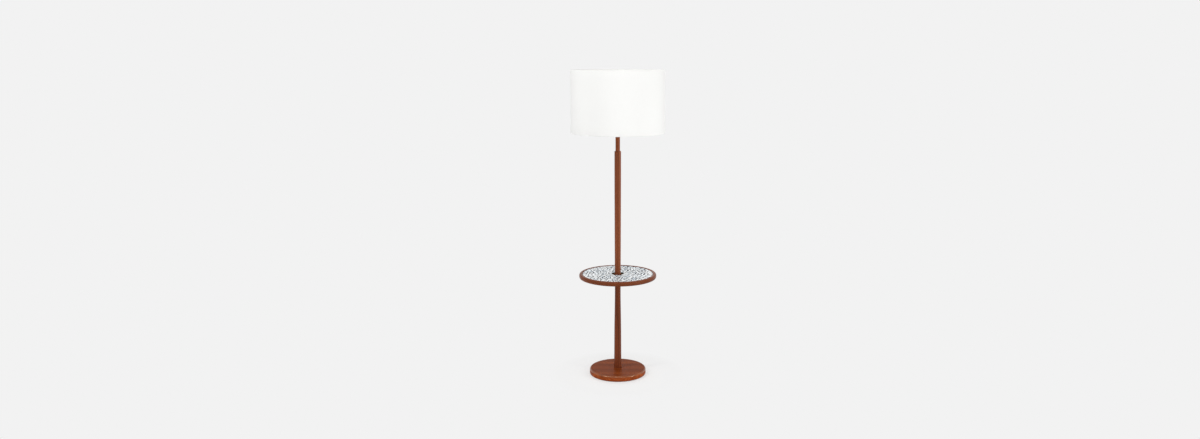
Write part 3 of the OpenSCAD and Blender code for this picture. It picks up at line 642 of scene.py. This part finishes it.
class LAMP_OT_wood(bpy.types.Operator):
    """Finishes the walnut posts, neck, base and rim, the dark hub and the plywood core"""
    bl_idname = "lamp.wood"
    bl_label = "Finish the wood"

    def execute(self, context):
        look = context.scene.lamp_wood
        # The lower post's darker tone is painted shade, for the shade under the table above it
        dress(walnut(look, "walnut_lower_post", upright, lean=5.0, tone=(0.74, 0.64, 0.58)), "lower_post")
        dress(walnut(look, "walnut_upper_post", upright, lean=2.0, tone=(0.94, 0.96, 0.98)), "upper_post")
        dress(walnut(look, "walnut_neck", upright, lean=3.7, tone=(1.12, 1.1, 1.1)), "neck")
        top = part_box("base_disc")[1]
        base = walnut(look, "walnut_base", level, lean=1.25, tone=(0.89, 0.75, 0.44), edge=(top.x, top.z),
                      stripe_w=24 * MM)
        dress(base, "base_disc")
        rim_grain = ringwise(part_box("table_rim")[1].x)
        rim = walnut(look, "walnut_rim", rim_grain, lean=0.9, tone=(0.76, 0.75, 0.78), gloss=0.17)
        dress(rim, "table_rim")
        dress(plywood(look), "table_core")
        hub = softened("table_hub", "hub_of_the_table", 0.6 * MM)
        mount(hub, "stand", "dark_walnut", hub_stain_and_shade(look), "table_hub")
        return {"FINISHED"}


class LAMP_OT_base(bpy.types.Operator):
    """Makes the felt pad and the cord bushing, and finishes what is inside the base and the post"""
    bl_idname = "lamp.base"
    bl_label = "Fit out the base"

    def execute(self, context):
        look = context.scene.lamp_fittings
        low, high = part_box("felt_pad")
        edge = 0.7 * MM
        outline = [(0, low.z), (high.x / 2, low.z), (high.x - edge, low.z)]
        outline += arc(high.x - edge, low.z + edge, edge, -90, 0, 4)[1:]
        outline += [(high.x, high.z), (0, high.z)]
        pad = lathe("felt_sheet", outline, 180)
        smooth(pad)
        mount(pad, "stand", "felt", felt(look), "felt_pad")
        bushing = softened("cord_bushing", "inlet_bushing", 0.4 * MM)
        black = plastic("black_bushing", look.black, 0.42)
        mount(bushing, "stand", "black_plastic", black, "cord_bushing")
        steel = metal("zinc_steel", look.steel, 0.34)
        dress(steel, "base_washer", "lock_washer", "lower_pipe", "upper_pipe")
        dress(metal("cast_iron", look.iron, 0.62, scale=240, depth=0.3 * MM), "base_weight")
        dress(metal("plain_brass", look.brass, 0.3), "base_nut", "pipe_coupling")
        return {"FINISHED"}


class LAMP_OT_screws(bpy.types.Operator):
    """Turns one pan-head screw with a cross recess, and sets a copy in each hole of the hub"""
    bl_idname = "lamp.screws"
    bl_label = "Set the hub screws"

    def execute(self, context):
        low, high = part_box("hub_screws")
        head_r = 4 * MM
        count = 4
        extra_turn = 0.7
        circle_r = (high.x - head_r) * math.sqrt(2)
        screw = self.screw(low.z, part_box("table_hub")[0].z, high.z, head_r)
        places = [Matrix.Rotation(TURN * (i + 0.5) / count, 4, "Z") @ Matrix.Translation((circle_r, 0, 0))
                  @ Matrix.Rotation(extra_turn * i, 4, "Z") for i in range(count)]
        copies = [copy_of(screw, "screw_copy", place) for place in places]
        bpy.data.objects.remove(screw)
        screws = together("pan_head_screws", copies)
        smooth(screws)
        steel = metal("screw_steel", context.scene.lamp_fittings.steel, 0.3)
        mount(screws, "stand", "steel", steel, "hub_screws")
        return {"FINISHED"}

    def screw(self, low_z, face_z, high_z, head_r):
        """One screw on the Z axis, head down, with its head against the face."""
        shank_r = 1.8 * MM
        dome = 1.1 * MM
        dome_shares = [(0, 0), (0.5, 0.12), (0.82, 0.5), (1, 1.2)]
        pitch = 1.5 * MM
        root_share, crest_share = 0.78, 0.4
        tip_share, tip_h = 0.7, 0.4 * MM
        slot_l, slot_w, slot_h = 4.2 * MM, 0.9 * MM, 1.3 * MM
        outline = [(head_r * r, low_z + dome * z) for r, z in dome_shares]
        outline += [(head_r, face_z), (shank_r, face_z)]
        for i in range(int((high_z - face_z) / pitch) - 1):
            z = face_z + (i + 0.5) * pitch
            outline += [(shank_r * root_share, z), (shank_r, z + pitch * crest_share)]
        outline += [(shank_r * tip_share, high_z - tip_h), (0, high_z)]
        screw = lathe("pan_head_screw", outline, 32)
        for turn in (0, math.pi / 2):
            bpy.ops.object.select_all(action="DESELECT")
            bpy.ops.mesh.primitive_cube_add(size=1, location=(0, 0, low_z), rotation=(0, 0, turn),
                                            scale=(slot_l, slot_w, 2 * slot_h))
            cutter = bpy.context.object
            modify(screw, "BOOLEAN", object=cutter, operation="DIFFERENCE", solver="EXACT")
            bpy.data.objects.remove(cutter)
        return screw


def chip_middles(look, hole_r, edge_r, dice):
    """Middles of the chips, spread evenly over the ring: each is the one of a few tries that is furthest
    from the others."""
    count = int(math.pi * (edge_r ** 2 - hole_r ** 2) / look.chip_w ** 2)
    margin_share = 0.38
    margin = look.chip_w * margin_share
    tries = 5
    found = np.empty((0, 2))
    for _ in range(count):
        spots = []
        for _ in range(tries):
            r = math.sqrt(dice.uniform((hole_r + margin) ** 2, (edge_r - margin) ** 2))
            a = dice.uniform(0, TURN)
            spots.append((r * math.cos(a), r * math.sin(a)))
        spots = np.array(spots)
        if len(found):
            nearest = np.linalg.norm(spots[:, None] - found[None], axis=2).min(axis=1)
            spots = spots[[nearest.argmax()]]
        found = np.vstack([found, spots[:1]])
    return found


def cut_back(corners, point, normal):
    """What is left of a convex outline behind the line through the point."""
    kept = []
    for a, b in zip(corners, np.roll(corners, -1, axis=0)):
        side_a, side_b = (a - point) @ normal, (b - point) @ normal
        if side_a <= 0:
            kept.append(a)
        if side_a * side_b < 0:
            kept.append(a + (b - a) * side_a / (side_a - side_b))
    return np.array(kept)


def chip_outline(middles, index, look, hole_r, edge_r, shrink):
    """The outline of one chip: what is nearer to its middle than to any other, less half a joint, inside the
    ring, with its corners worn round."""
    reach_share = 3.2
    wear_rounds, wear_share = 2, 0.24
    here = middles[index]
    reach = reach_share * look.chip_w
    corners = here + reach * np.array([(-1, -1), (1, -1), (1, 1), (-1, 1)])
    for other in middles[np.linalg.norm(middles - here, axis=1) < 2 * reach]:
        step = other - here
        distance = np.linalg.norm(step)
        if distance > 0:
            direction = step / distance
            corners = cut_back(corners, here + direction * (distance - look.joint_w) / 2, direction)
    out = here / np.linalg.norm(here)
    corners = cut_back(corners, out * edge_r, out)
    corners = cut_back(corners, out * hole_r, -out)
    corners = here + (corners - here) * shrink
    for _ in range(wear_rounds):
        ahead = np.roll(corners, -1, axis=0)
        after = corners * (1 - wear_share) + ahead * wear_share
        before = corners * wear_share + ahead * (1 - wear_share)
        corners = np.stack([after, before], axis=1).reshape(-1, 2)
        gaps = np.linalg.norm(corners - np.roll(corners, 1, axis=0), axis=1)
        corners = corners[gaps > look.arris]
    return corners


class LAMP_OT_mosaic(bpy.types.Operator):
    """Breaks the mosaic's chips, lays them in the ring and fills the joints with grout"""
    bl_idname = "lamp.mosaic"
    bl_label = "Lay the mosaic"

    def execute(self, context):
        look = context.scene.lamp_mosaic
        dice = random.Random(look.seed)
        low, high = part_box("mosaic_tiles")
        edge_gap = 0.35 * MM
        inside_r, edge_r = look.hole_r + edge_gap, high.x - edge_gap
        middles = chip_middles(look, inside_r, edge_r, dice)
        most_shrunk, rarity = 0.26, 2.5
        points, faces = [], []
        for index in range(len(middles)):
            shrink = 1 - most_shrunk * dice.random() ** rarity
            outline = chip_outline(middles, index, look, inside_r, edge_r, shrink)
            faces.append(range(len(points), len(points) + len(outline)))
            points += [(x, y, low.z) for x, y in outline]
        mesh = bpy.data.meshes.new("mosaic_chips")
        mesh.from_pydata(points, [], faces)
        chips = bpy.data.objects.new("mosaic_chips", mesh)
        context.scene.collection.objects.link(chips)
        edit(chips, "FACE")
        bpy.ops.mesh.select_all(action="SELECT")
        bpy.ops.mesh.extrude_region_move(TRANSFORM_OT_translate={"value": (0, 0, high.z - low.z)})
        bpy.ops.mesh.bevel(offset=look.arris, segments=2, affect="EDGES")
        bpy.ops.mesh.select_all(action="SELECT")
        bpy.ops.mesh.normals_make_consistent(inside=False)
        done()
        self.settle(mesh, middles, (low.z + high.z) / 2, dice)
        smooth(chips)
        mount(chips, "stand", "mosaic", glaze(look), "mosaic_tiles")

        hole_r = look.hole_r
        joint_z = high.z - look.grout_sink
        outline = [(hole_r, low.z), (high.x, low.z), (high.x, joint_z), (hole_r, joint_z), (hole_r, low.z)]
        fill = lathe("grout_between_chips", outline, 128)
        smooth(fill)
        mount(fill, "stand", "grout", grout(look))
        dress(grout(look), "mosaic_bed")
        return {"FINISHED"}

    def settle(self, mesh, middles, half_z, dice):
        """Sinks and tilts each chip's top a little, and gives its faces the chip's own tone."""
        sink = 0.22 * MM
        tilt = 0.012
        drops = np.array([dice.uniform(0, sink) for _ in middles])
        slopes = np.array([(dice.uniform(-tilt, tilt), dice.uniform(-tilt, tilt)) for _ in middles])
        tones = np.array([dice.random() for _ in middles])

        def owner(places):
            return np.linalg.norm(places[:, None, :2] - middles[None], axis=2).argmin(axis=1)

        points = np.array([v.co for v in mesh.vertices])
        chip = owner(points)
        top = points[:, 2] > half_z
        lift = ((points[:, :2] - middles[chip]) * slopes[chip]).sum(axis=1)
        points[top, 2] += np.minimum(lift - drops[chip], 0)[top]
        mesh.vertices.foreach_set("co", points.ravel())
        centres = np.array([p.center for p in mesh.polygons])
        tone = mesh.attributes.new("chip_tone", "FLOAT", "FACE")
        tone.data.foreach_set("value", tones[owner(centres)].astype(np.float32))


class LAMP_OT_shade(bpy.types.Operator):
    """Wraps the shade in cloth with rolled edges and a glued seam, and finishes its liner and wires"""
    bl_idname = "lamp.shade"
    bl_label = "Cover the shade"

    def execute(self, context):
        look = context.scene.lamp_shade
        low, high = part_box("shade_fabric")
        radius = high.x
        roll = look.roll_r
        segments, rows, roll_steps = 576, 6, 10
        notch_share = 0.45
        inner = radius - 2 * roll
        straight = high.z - low.z - 2 * roll
        notch_z = high.z - look.hem_h * notch_share
        outline = [(inner, low.z + look.hem_h), (inner, low.z + roll)]
        outline += arc(radius - roll, low.z + roll, roll, 180, 360, roll_steps)[1:]
        outline += [(radius, low.z + roll + straight * (i + 1) / rows) for i in range(rows)]
        outline += arc(radius - roll, high.z - roll, roll, 0, 180, roll_steps)[1:]
        outline += [(inner, notch_z), (inner, high.z - look.hem_h)]
        cover = lathe("shade_cover", outline, segments)
        self.notch(cover, notch_z, radius - roll, segments)
        self.seam(cover, radius, look)
        modify(cover, "SOLIDIFY", thickness=look.cloth_t, offset=-1.0)
        smooth(cover)
        fabric = cloth(look, "shade_cloth", radius)
        mount(cover, "shade", "shade_fabric", fabric, "shade_fabric", "hem_tapes")
        dress(film(look), "shade_liner")
        paint = plastic("white_powder_coat", look.wire, 0.36, speck=0.02)
        dress(paint, "top_ring", "bottom_ring", "spider_arms", "spider_hub")
        self.welds(paint)
        return {"FINISHED"}

    def notch(self, cover, top_z, inside_r, segments):
        """Cuts the hem open where each arm of the spider goes through."""
        depth = 20 * MM
        half_segments = 1.1
        half = TURN / segments * half_segments

        def at_arm(middle):
            in_hem = top_z - depth <= middle.z <= top_z and math.hypot(middle.x, middle.y) <= inside_r
            turn = math.atan2(middle.y, middle.x)
            return in_hem and any(abs((turn - arm + math.pi) % TURN - math.pi) < half for arm in ARM_TURNS)

        pick(cover, at_arm)
        bpy.ops.mesh.delete(type="FACE")
        done()

    def seam(self, cover, radius, look):
        """Lays the cloth's free end over its beginning, at the back."""
        lap_share = 0.9
        half = look.seam_w / 2

        def at_back(middle):
            outer = math.hypot(middle.x, middle.y) > radius - look.roll_r
            return outer and middle.y > 0 and abs(middle.x) < half

        pick(cover, at_back)
        bpy.ops.mesh.duplicate_move()
        grow = (radius + look.cloth_t * lap_share) / radius
        bpy.ops.transform.resize(value=(grow, grow, 1), center_override=(0, 0, 0))
        done()

    def welds(self, paint):
        """Weld beads where the arms meet the top ring and the hub."""
        ring_low, ring_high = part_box("top_ring")
        hub_low, hub_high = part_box("spider_hub")
        wire_r = (ring_high.z - ring_low.z) / 2
        ring_r = ring_high.x - wire_r
        in_share, down_share = 0.9, 0.8
        bead_share = 1.35
        bead_shares = (1.0, 1.25, 0.75, 1)
        spots = [(ring_r - wire_r * in_share, (ring_low.z + ring_high.z) / 2 - wire_r * down_share),
                 (hub_high.x, (hub_low.z + hub_high.z) / 2)]
        beads = []
        for arm in ARM_TURNS:
            for r, z in spots:
                bpy.ops.object.select_all(action="DESELECT")
                bpy.ops.mesh.primitive_ico_sphere_add(subdivisions=2, radius=wire_r * bead_share)
                bead = bpy.context.object
                place = Matrix.Rotation(arm, 4, "Z") @ Matrix.Translation((r, 0, z))
                bead.data.transform(place @ Matrix.Diagonal(bead_shares))
                beads.append(bead)
        welds = together("spider_welds", beads)
        smooth(welds, math.pi)
        mount(welds, "shade", "white_wire", paint)


class LAMP_OT_fitting(bpy.types.Operator):
    """Makes the check ring, saddle, stud, sleeves, cap and finial, and finishes the harp and socket"""
    bl_idname = "lamp.fitting"
    bl_label = "Fit the harp and socket"

    def execute(self, context):
        look = context.scene.lamp_fittings
        turned = metal("turned_brass", look.brass, 0.26, grain=(1, 1, 30))
        drawn = metal("drawn_brass", look.brass, 0.3)
        dress(drawn, "harp_bow", "socket_shell", "centre_contact", "terminal_screws", "switch_shaft")
        mount(softened("check_ring", "ring_on_the_neck", 0.25 * MM), "stand", "brass", turned, "check_ring")
        mount(softened("harp_saddle", "saddle_strip", 0.35 * MM, 3), "stand", "brass", drawn, "harp_saddle")
        mount(softened("harp_stud", "stud_and_barrel", 0.3 * MM), "stand", "brass", turned, "harp_stud")
        for side in ("left", "right"):
            mount(self.sleeve(side), side + "_sleeve", "brass", turned, side + "_sleeve")
        mount(self.cap(), "stand", "brass", turned, "socket_cap")
        mount(self.finial(), "finial", "brass", turned, "finial")
        dress(metal("set_screw_steel", look.steel, 0.32), "cap_screw")
        dress(card(look), "socket_liner")
        dress(plastic("black_core", look.black, 0.5), "socket_core")
        return {"FINISHED"}

    def sleeve(self, side):
        """A knurled sleeve with a plain collar at each end."""
        low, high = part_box(side + "_sleeve")
        middle_x = (low.x + high.x) / 2
        out_r = (high.x - low.x) / 2
        wall = 1.9 * MM
        collar = 3.4 * MM
        groove = 0.5 * MM
        knurl_d = 0.32 * MM
        teeth = 28
        flank_share = 0.2
        bore_r = out_r - wall
        neck_r = out_r - groove
        end = [(bore_r, 0), (neck_r, 0), (out_r, groove), (out_r, collar), (neck_r, collar + groove),
               (neck_r, collar + 2 * groove), (out_r, collar + 3 * groove)]
        outline = [(r, low.z + z) for r, z in end] + [(r, high.z - z) for r, z in reversed(end)]
        piece = lathe(side + "_knurled_sleeve", [*outline, (bore_r, low.z)], 3 * teeth)
        knurl_low, knurl_high = low.z + collar + 2.5 * groove, high.z - collar - 2.5 * groove

        def in_groove(place):
            turn = math.atan2(place.y, place.x) * teeth / TURN % 1
            on_rim = math.hypot(place.x, place.y) > out_r - groove / 2
            return on_rim and knurl_low < place.z < knurl_high and not flank_share < turn < 1 - flank_share

        pick(piece, in_groove, "VERT")
        shrink = (out_r - knurl_d) / out_r
        bpy.ops.transform.resize(value=(shrink, shrink, 1), center_override=(0, 0, 0))
        done()
        piece.data.transform(Matrix.Translation((middle_x, 0, 0)))
        smooth(piece)
        return piece

    def cap(self):
        """The socket's cap: a drawn brass bell on a threaded hub."""
        low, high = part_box("socket_cap")
        out_r = high.x
        wall = 0.7 * MM
        bore_r = 4.95 * MM
        hub_r = 7.5 * MM
        hub_h = 8 * MM
        chamfer = 0.4 * MM
        shoulder_r = 7 * MM
        shoulder_start = -78
        lip_out, lip_in = 0.5 * MM, 0.3 * MM
        steps = 10
        seat_z = low.z + hub_h + wall * 1.4
        r, z = out_r - shoulder_r, low.z + hub_h + shoulder_r
        outline = [(bore_r, low.z), (hub_r - chamfer, low.z), (hub_r, low.z + chamfer)]
        outline += [(hub_r, low.z + hub_h)]
        outline += arc(r, z, shoulder_r, shoulder_start, 0, steps)
        outline += [(out_r, high.z - lip_out), (out_r - wall / 2, high.z), (out_r - wall, high.z - lip_in)]
        outline += arc(r, z, shoulder_r - wall, 0, shoulder_start, steps)
        outline += [(hub_r, seat_z), (bore_r, seat_z), (bore_r, low.z)]
        piece = lathe("socket_bell", outline, 96)
        smooth(piece)
        return piece

    def finial(self):
        """The finial: a foot with a rounded edge, a short stem, and a ball, bored for the stud."""
        low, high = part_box("finial")
        ball_r = high.x
        foot_r = 6.5 * MM
        foot_h = 3 * MM
        chamfer = 0.5 * MM
        edge_r = 0.9 * MM
        stem_r = 4.2 * MM
        bore_r = 3.18 * MM
        bore_z = low.z + 12 * MM
        edge_z = low.z + foot_h * 0.55
        stem_z = low.z + foot_h
        ball_start = -math.degrees(math.acos(stem_r / ball_r))
        outline = [(bore_r, low.z), (foot_r - chamfer, low.z), (foot_r, low.z + chamfer), (foot_r, edge_z)]
        outline += arc(foot_r - edge_r, edge_z, edge_r, 0, 90, 5)[1:]
        outline += [(stem_r + chamfer, low.z + foot_h * 0.9), (stem_r, stem_z)]
        outline += arc(0, high.z - ball_r, ball_r, ball_start, 90, 22)
        outline += [(0, bore_z), (bore_r, bore_z), (bore_r, low.z)]
        piece = lathe("turned_finial", outline, 72)
        smooth(piece)
        return piece


class LAMP_OT_switch(bpy.types.Operator):
    """Makes the fluted knob of the switch"""
    bl_idname = "lamp.switch"
    bl_label = "Fit the switch knob"

    def execute(self, context):
        knob = softened("switch_knob", "fluted_knob", 0.25 * MM)
        black = plastic("black_knob", context.scene.lamp_fittings.black, 0.3, coat=0.3)
        mount(knob, "switch", "black_plastic", black, "switch_knob")
        return {"FINISHED"}


class LAMP_OT_bulb(bpy.types.Operator):
    """Makes the bulb's threaded cap and the socket's thread sleeve, and finishes the bulb"""
    bl_idname = "lamp.bulb"
    bl_label = "Screw in the bulb"

    def execute(self, context):
        look = context.scene.lamp_fittings
        bright = metal("bright_cap", look.steel, 0.24, grain=(1, 1, 12))
        mount(self.cap(look), "bulb", "bulb_metal", bright, "bulb_cap")
        rolled = metal("rolled_brass", look.brass, 0.3, grain=(1, 1, 12))
        mount(self.sleeve(look), "stand", "brass", rolled, "thread_sleeve")
        dress(bright, "bulb_contact")
        dress(plastic("black_insulator", look.black, 0.25, coat=0.4), "bulb_insulator")
        dress(plastic("bulb_housing_white", look.housing, 0.32, speck=0.01, coat=0.2), "bulb_housing")
        dress(plastic("frosted_dome", look.bulb, 0.55, speck=0.01), "bulb_diffuser")
        dress(board_lacquer("green_board", (0.03, 0.16, 0.07)), "driver_board")
        dress(board_lacquer("white_board", (0.8, 0.8, 0.76)), "led_board")
        return {"FINISHED"}

    def cap(self, look):
        """The bulb's screw cap: a rounded foot and a rolled thread."""
        low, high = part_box("bulb_cap")
        out_r = high.x
        wall = 0.4 * MM
        foot_r = 9.5 * MM
        foot_edge = (1.8 * MM, 0.8 * MM)
        curve = 3 * MM
        rows = 48
        rise = high.z - low.z - curve
        outer = [(out_r, low.z + curve + rise * i / rows) for i in range(rows + 1)]
        outline = [(0, low.z), (foot_r, low.z), (foot_r + foot_edge[0], low.z + foot_edge[1]), *outer]
        outline += [(r - wall, z) for r, z in reversed(outer)]
        outline += [(foot_r, low.z + wall), (0, low.z + wall)]
        piece = lathe("threaded_bulb_cap", outline, 72)
        threaded(piece, look.thread_pitch, depth=1 * MM, low_z=low.z + curve, high_z=high.z - 2 * MM,
                 fade=1.2 * MM)
        return piece

    def sleeve(self, look):
        """The socket's thread sleeve, rolled to the same thread."""
        low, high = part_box("thread_sleeve")
        out_r = high.x
        wall = 0.4 * MM
        hole_r = 7 * MM
        flange = 0.6 * MM
        rows = 54
        outer = [(out_r, low.z + (high.z - low.z) * i / rows) for i in range(rows + 1)]
        inner = [(out_r - wall, z) for r, z in reversed(outer) if z > low.z + flange]
        outline = [(hole_r, low.z), *outer, *inner, (out_r - wall, low.z + flange), (hole_r, low.z + flange)]
        piece = lathe("thread_shell", [*outline, (hole_r, low.z)], 72)
        threaded(piece, look.thread_pitch, depth=0.25 * MM, low_z=low.z + 1.5 * MM, high_z=high.z - 1 * MM,
                 fade=1.2 * MM)
        return piece


def soft_light(name, place, aim_z, size, power):
    """A rectangular area light that points at a height on the post."""
    bpy.ops.object.light_add(type="AREA", location=place)
    lamp = bpy.context.object
    lamp.name = lamp.data.name = name
    lamp.data.shape = "RECTANGLE"
    lamp.data.size, lamp.data.size_y = size
    lamp.data.energy = power
    lamp.rotation_euler = (Vector((0, 0, aim_z)) - Vector(place)).to_track_quat("-Z", "Y").to_euler()


class LAMP_OT_stage(bpy.types.Operator):
    """Lays the pale floor, hangs the studio lights and sets the camera where the photograph was taken"""
    bl_idname = "lamp.stage"
    bl_label = "Set the stage"

    def execute(self, context):
        look = context.scene.lamp_stage
        self.floor(look)
        self.sky(context.scene, look)
        soft_light("key_light", (-2.8, -1.8, 3.2), aim_z=0.85, size=(0.6, 2.0), power=look.key)
        soft_light("strip_light", (2.9, -1.7, 1.2), aim_z=0.9, size=(0.25, 2.2), power=look.strip)
        soft_light("overhead_light", (0, -2.6, 5.0), aim_z=0.4, size=(2.4, 0.7), power=look.overhead)
        soft_light("back_light", (0, 3.2, 3.2), aim_z=0.9, size=(2.0, 0.8), power=look.back)
        self.camera(context.scene)
        context.scene.view_settings.view_transform = "Standard"
        return {"FINISHED"}

    def floor(self, look):
        """A wide pale floor that keeps the lamp's shadow and fades into the backdrop, open from below."""
        floor_w = 60
        bpy.ops.object.select_all(action="DESELECT")
        bpy.ops.mesh.primitive_plane_add(size=floor_w, location=(0, 0, 0))
        floor = bpy.context.object
        floor.name = floor.data.name = "studio_floor"
        finish = Finish("pale_floor")
        finish.surface(Base_Color=look.page, Roughness=0.9)
        x, y, z = finish.split(finish.place())
        away = finish.reach(x, y)
        base_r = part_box("base_disc")[1].x
        tone = finish.mix(finish.span(away, base_r, 2 * base_r), look.near, look.page)
        glow = finish.add("ShaderNodeEmission", Color=tone, Strength=1.0).outputs[0]
        share = finish.times(finish.span(away, base_r, 2.5 * base_r, 0.5, 1.0), finish.seen())
        lit = finish.cover(share, finish.shader.outputs[0], glow)
        clear = finish.add("ShaderNodeBsdfTransparent").outputs[0]
        below = finish.add("ShaderNodeNewGeometry").outputs["Backfacing"]
        finish.put(finish.output.inputs["Surface"], finish.cover(below, lit, clear))
        floor.data.materials.append(finish.material)

    def sky(self, scene, look):
        """Even light from all round, and the page's colour where the camera or a reflection sees it."""
        world = bpy.data.worlds.new("studio")
        scene.world = world
        world.use_nodes = True
        tree = Tree(world.node_tree)
        light = tree.add("ShaderNodeBackground", Color=WHITE, Strength=look.sky).outputs[0]
        page = tree.add("ShaderNodeBackground", Color=look.page, Strength=1.0).outputs[0]
        tree.add("ShaderNodeOutputWorld", Surface=tree.cover(tree.seen(), light, page))

    def camera(self, scene):
        """The camera, from its fit to the photograph's 1200 by 439 pixels."""
        image_w, image_h = 1200, 439
        focal_px = 919.02
        centre_px = (617.75, 188.63)
        distance, height, dip = 4.4462, 1.5666, math.radians(8.088)
        sensor_w = 36
        bpy.ops.object.camera_add(location=(0, -distance, height), rotation=(math.pi / 2 - dip, 0, 0))
        camera = bpy.context.object
        camera.name = camera.data.name = "camera"
        camera.data.sensor_width = sensor_w
        camera.data.lens = sensor_w * focal_px / image_w
        camera.data.shift_x = (image_w / 2 - centre_px[0]) / image_w
        camera.data.shift_y = (centre_px[1] - image_h / 2) / image_w
        scene.camera = camera


class LAMP_PT_panel(bpy.types.Panel):
    """The lamp's steps in order, and its sizes and colours."""
    bl_label = "Floor lamp"
    bl_idname = "LAMP_PT_panel"
    bl_space_type = "VIEW_3D"
    bl_region_type = "UI"
    bl_category = "Floor lamp"

    def draw(self, context):
        for step in STEPS:
            self.layout.operator(step.bl_idname)
        for name, group in GROUPS.items():
            box = self.layout.box()
            box.label(text=group.__doc__)
            for key in group.__annotations__:
                box.prop(getattr(context.scene, name), key)


GROUPS = {"lamp_wood": LampWood, "lamp_mosaic": LampMosaic, "lamp_shade": LampShade,
          "lamp_fittings": LampFittings, "lamp_stage": LampStage}
STEPS = [LAMP_OT_wood, LAMP_OT_base, LAMP_OT_screws, LAMP_OT_mosaic, LAMP_OT_shade, LAMP_OT_fitting,
         LAMP_OT_switch, LAMP_OT_bulb, LAMP_OT_stage]


def register():
    for group in GROUPS.values():
        bpy.utils.register_class(group)
    for name, group in GROUPS.items():
        setattr(bpy.types.Scene, name, PointerProperty(type=group))
    for part in [*STEPS, LAMP_PT_panel]:
        bpy.utils.register_class(part)


def unregister():
    for part in [LAMP_PT_panel, *reversed(STEPS)]:
        bpy.utils.unregister_class(part)
    for name in GROUPS:
        delattr(bpy.types.Scene, name)
    for group in GROUPS.values():
        bpy.utils.unregister_class(group)


def main():
    register()
    for step in STEPS:
        family, name = step.bl_idname.split(".")
        getattr(getattr(bpy.ops, family), name)()


if __name__ == "__main__":
    main()
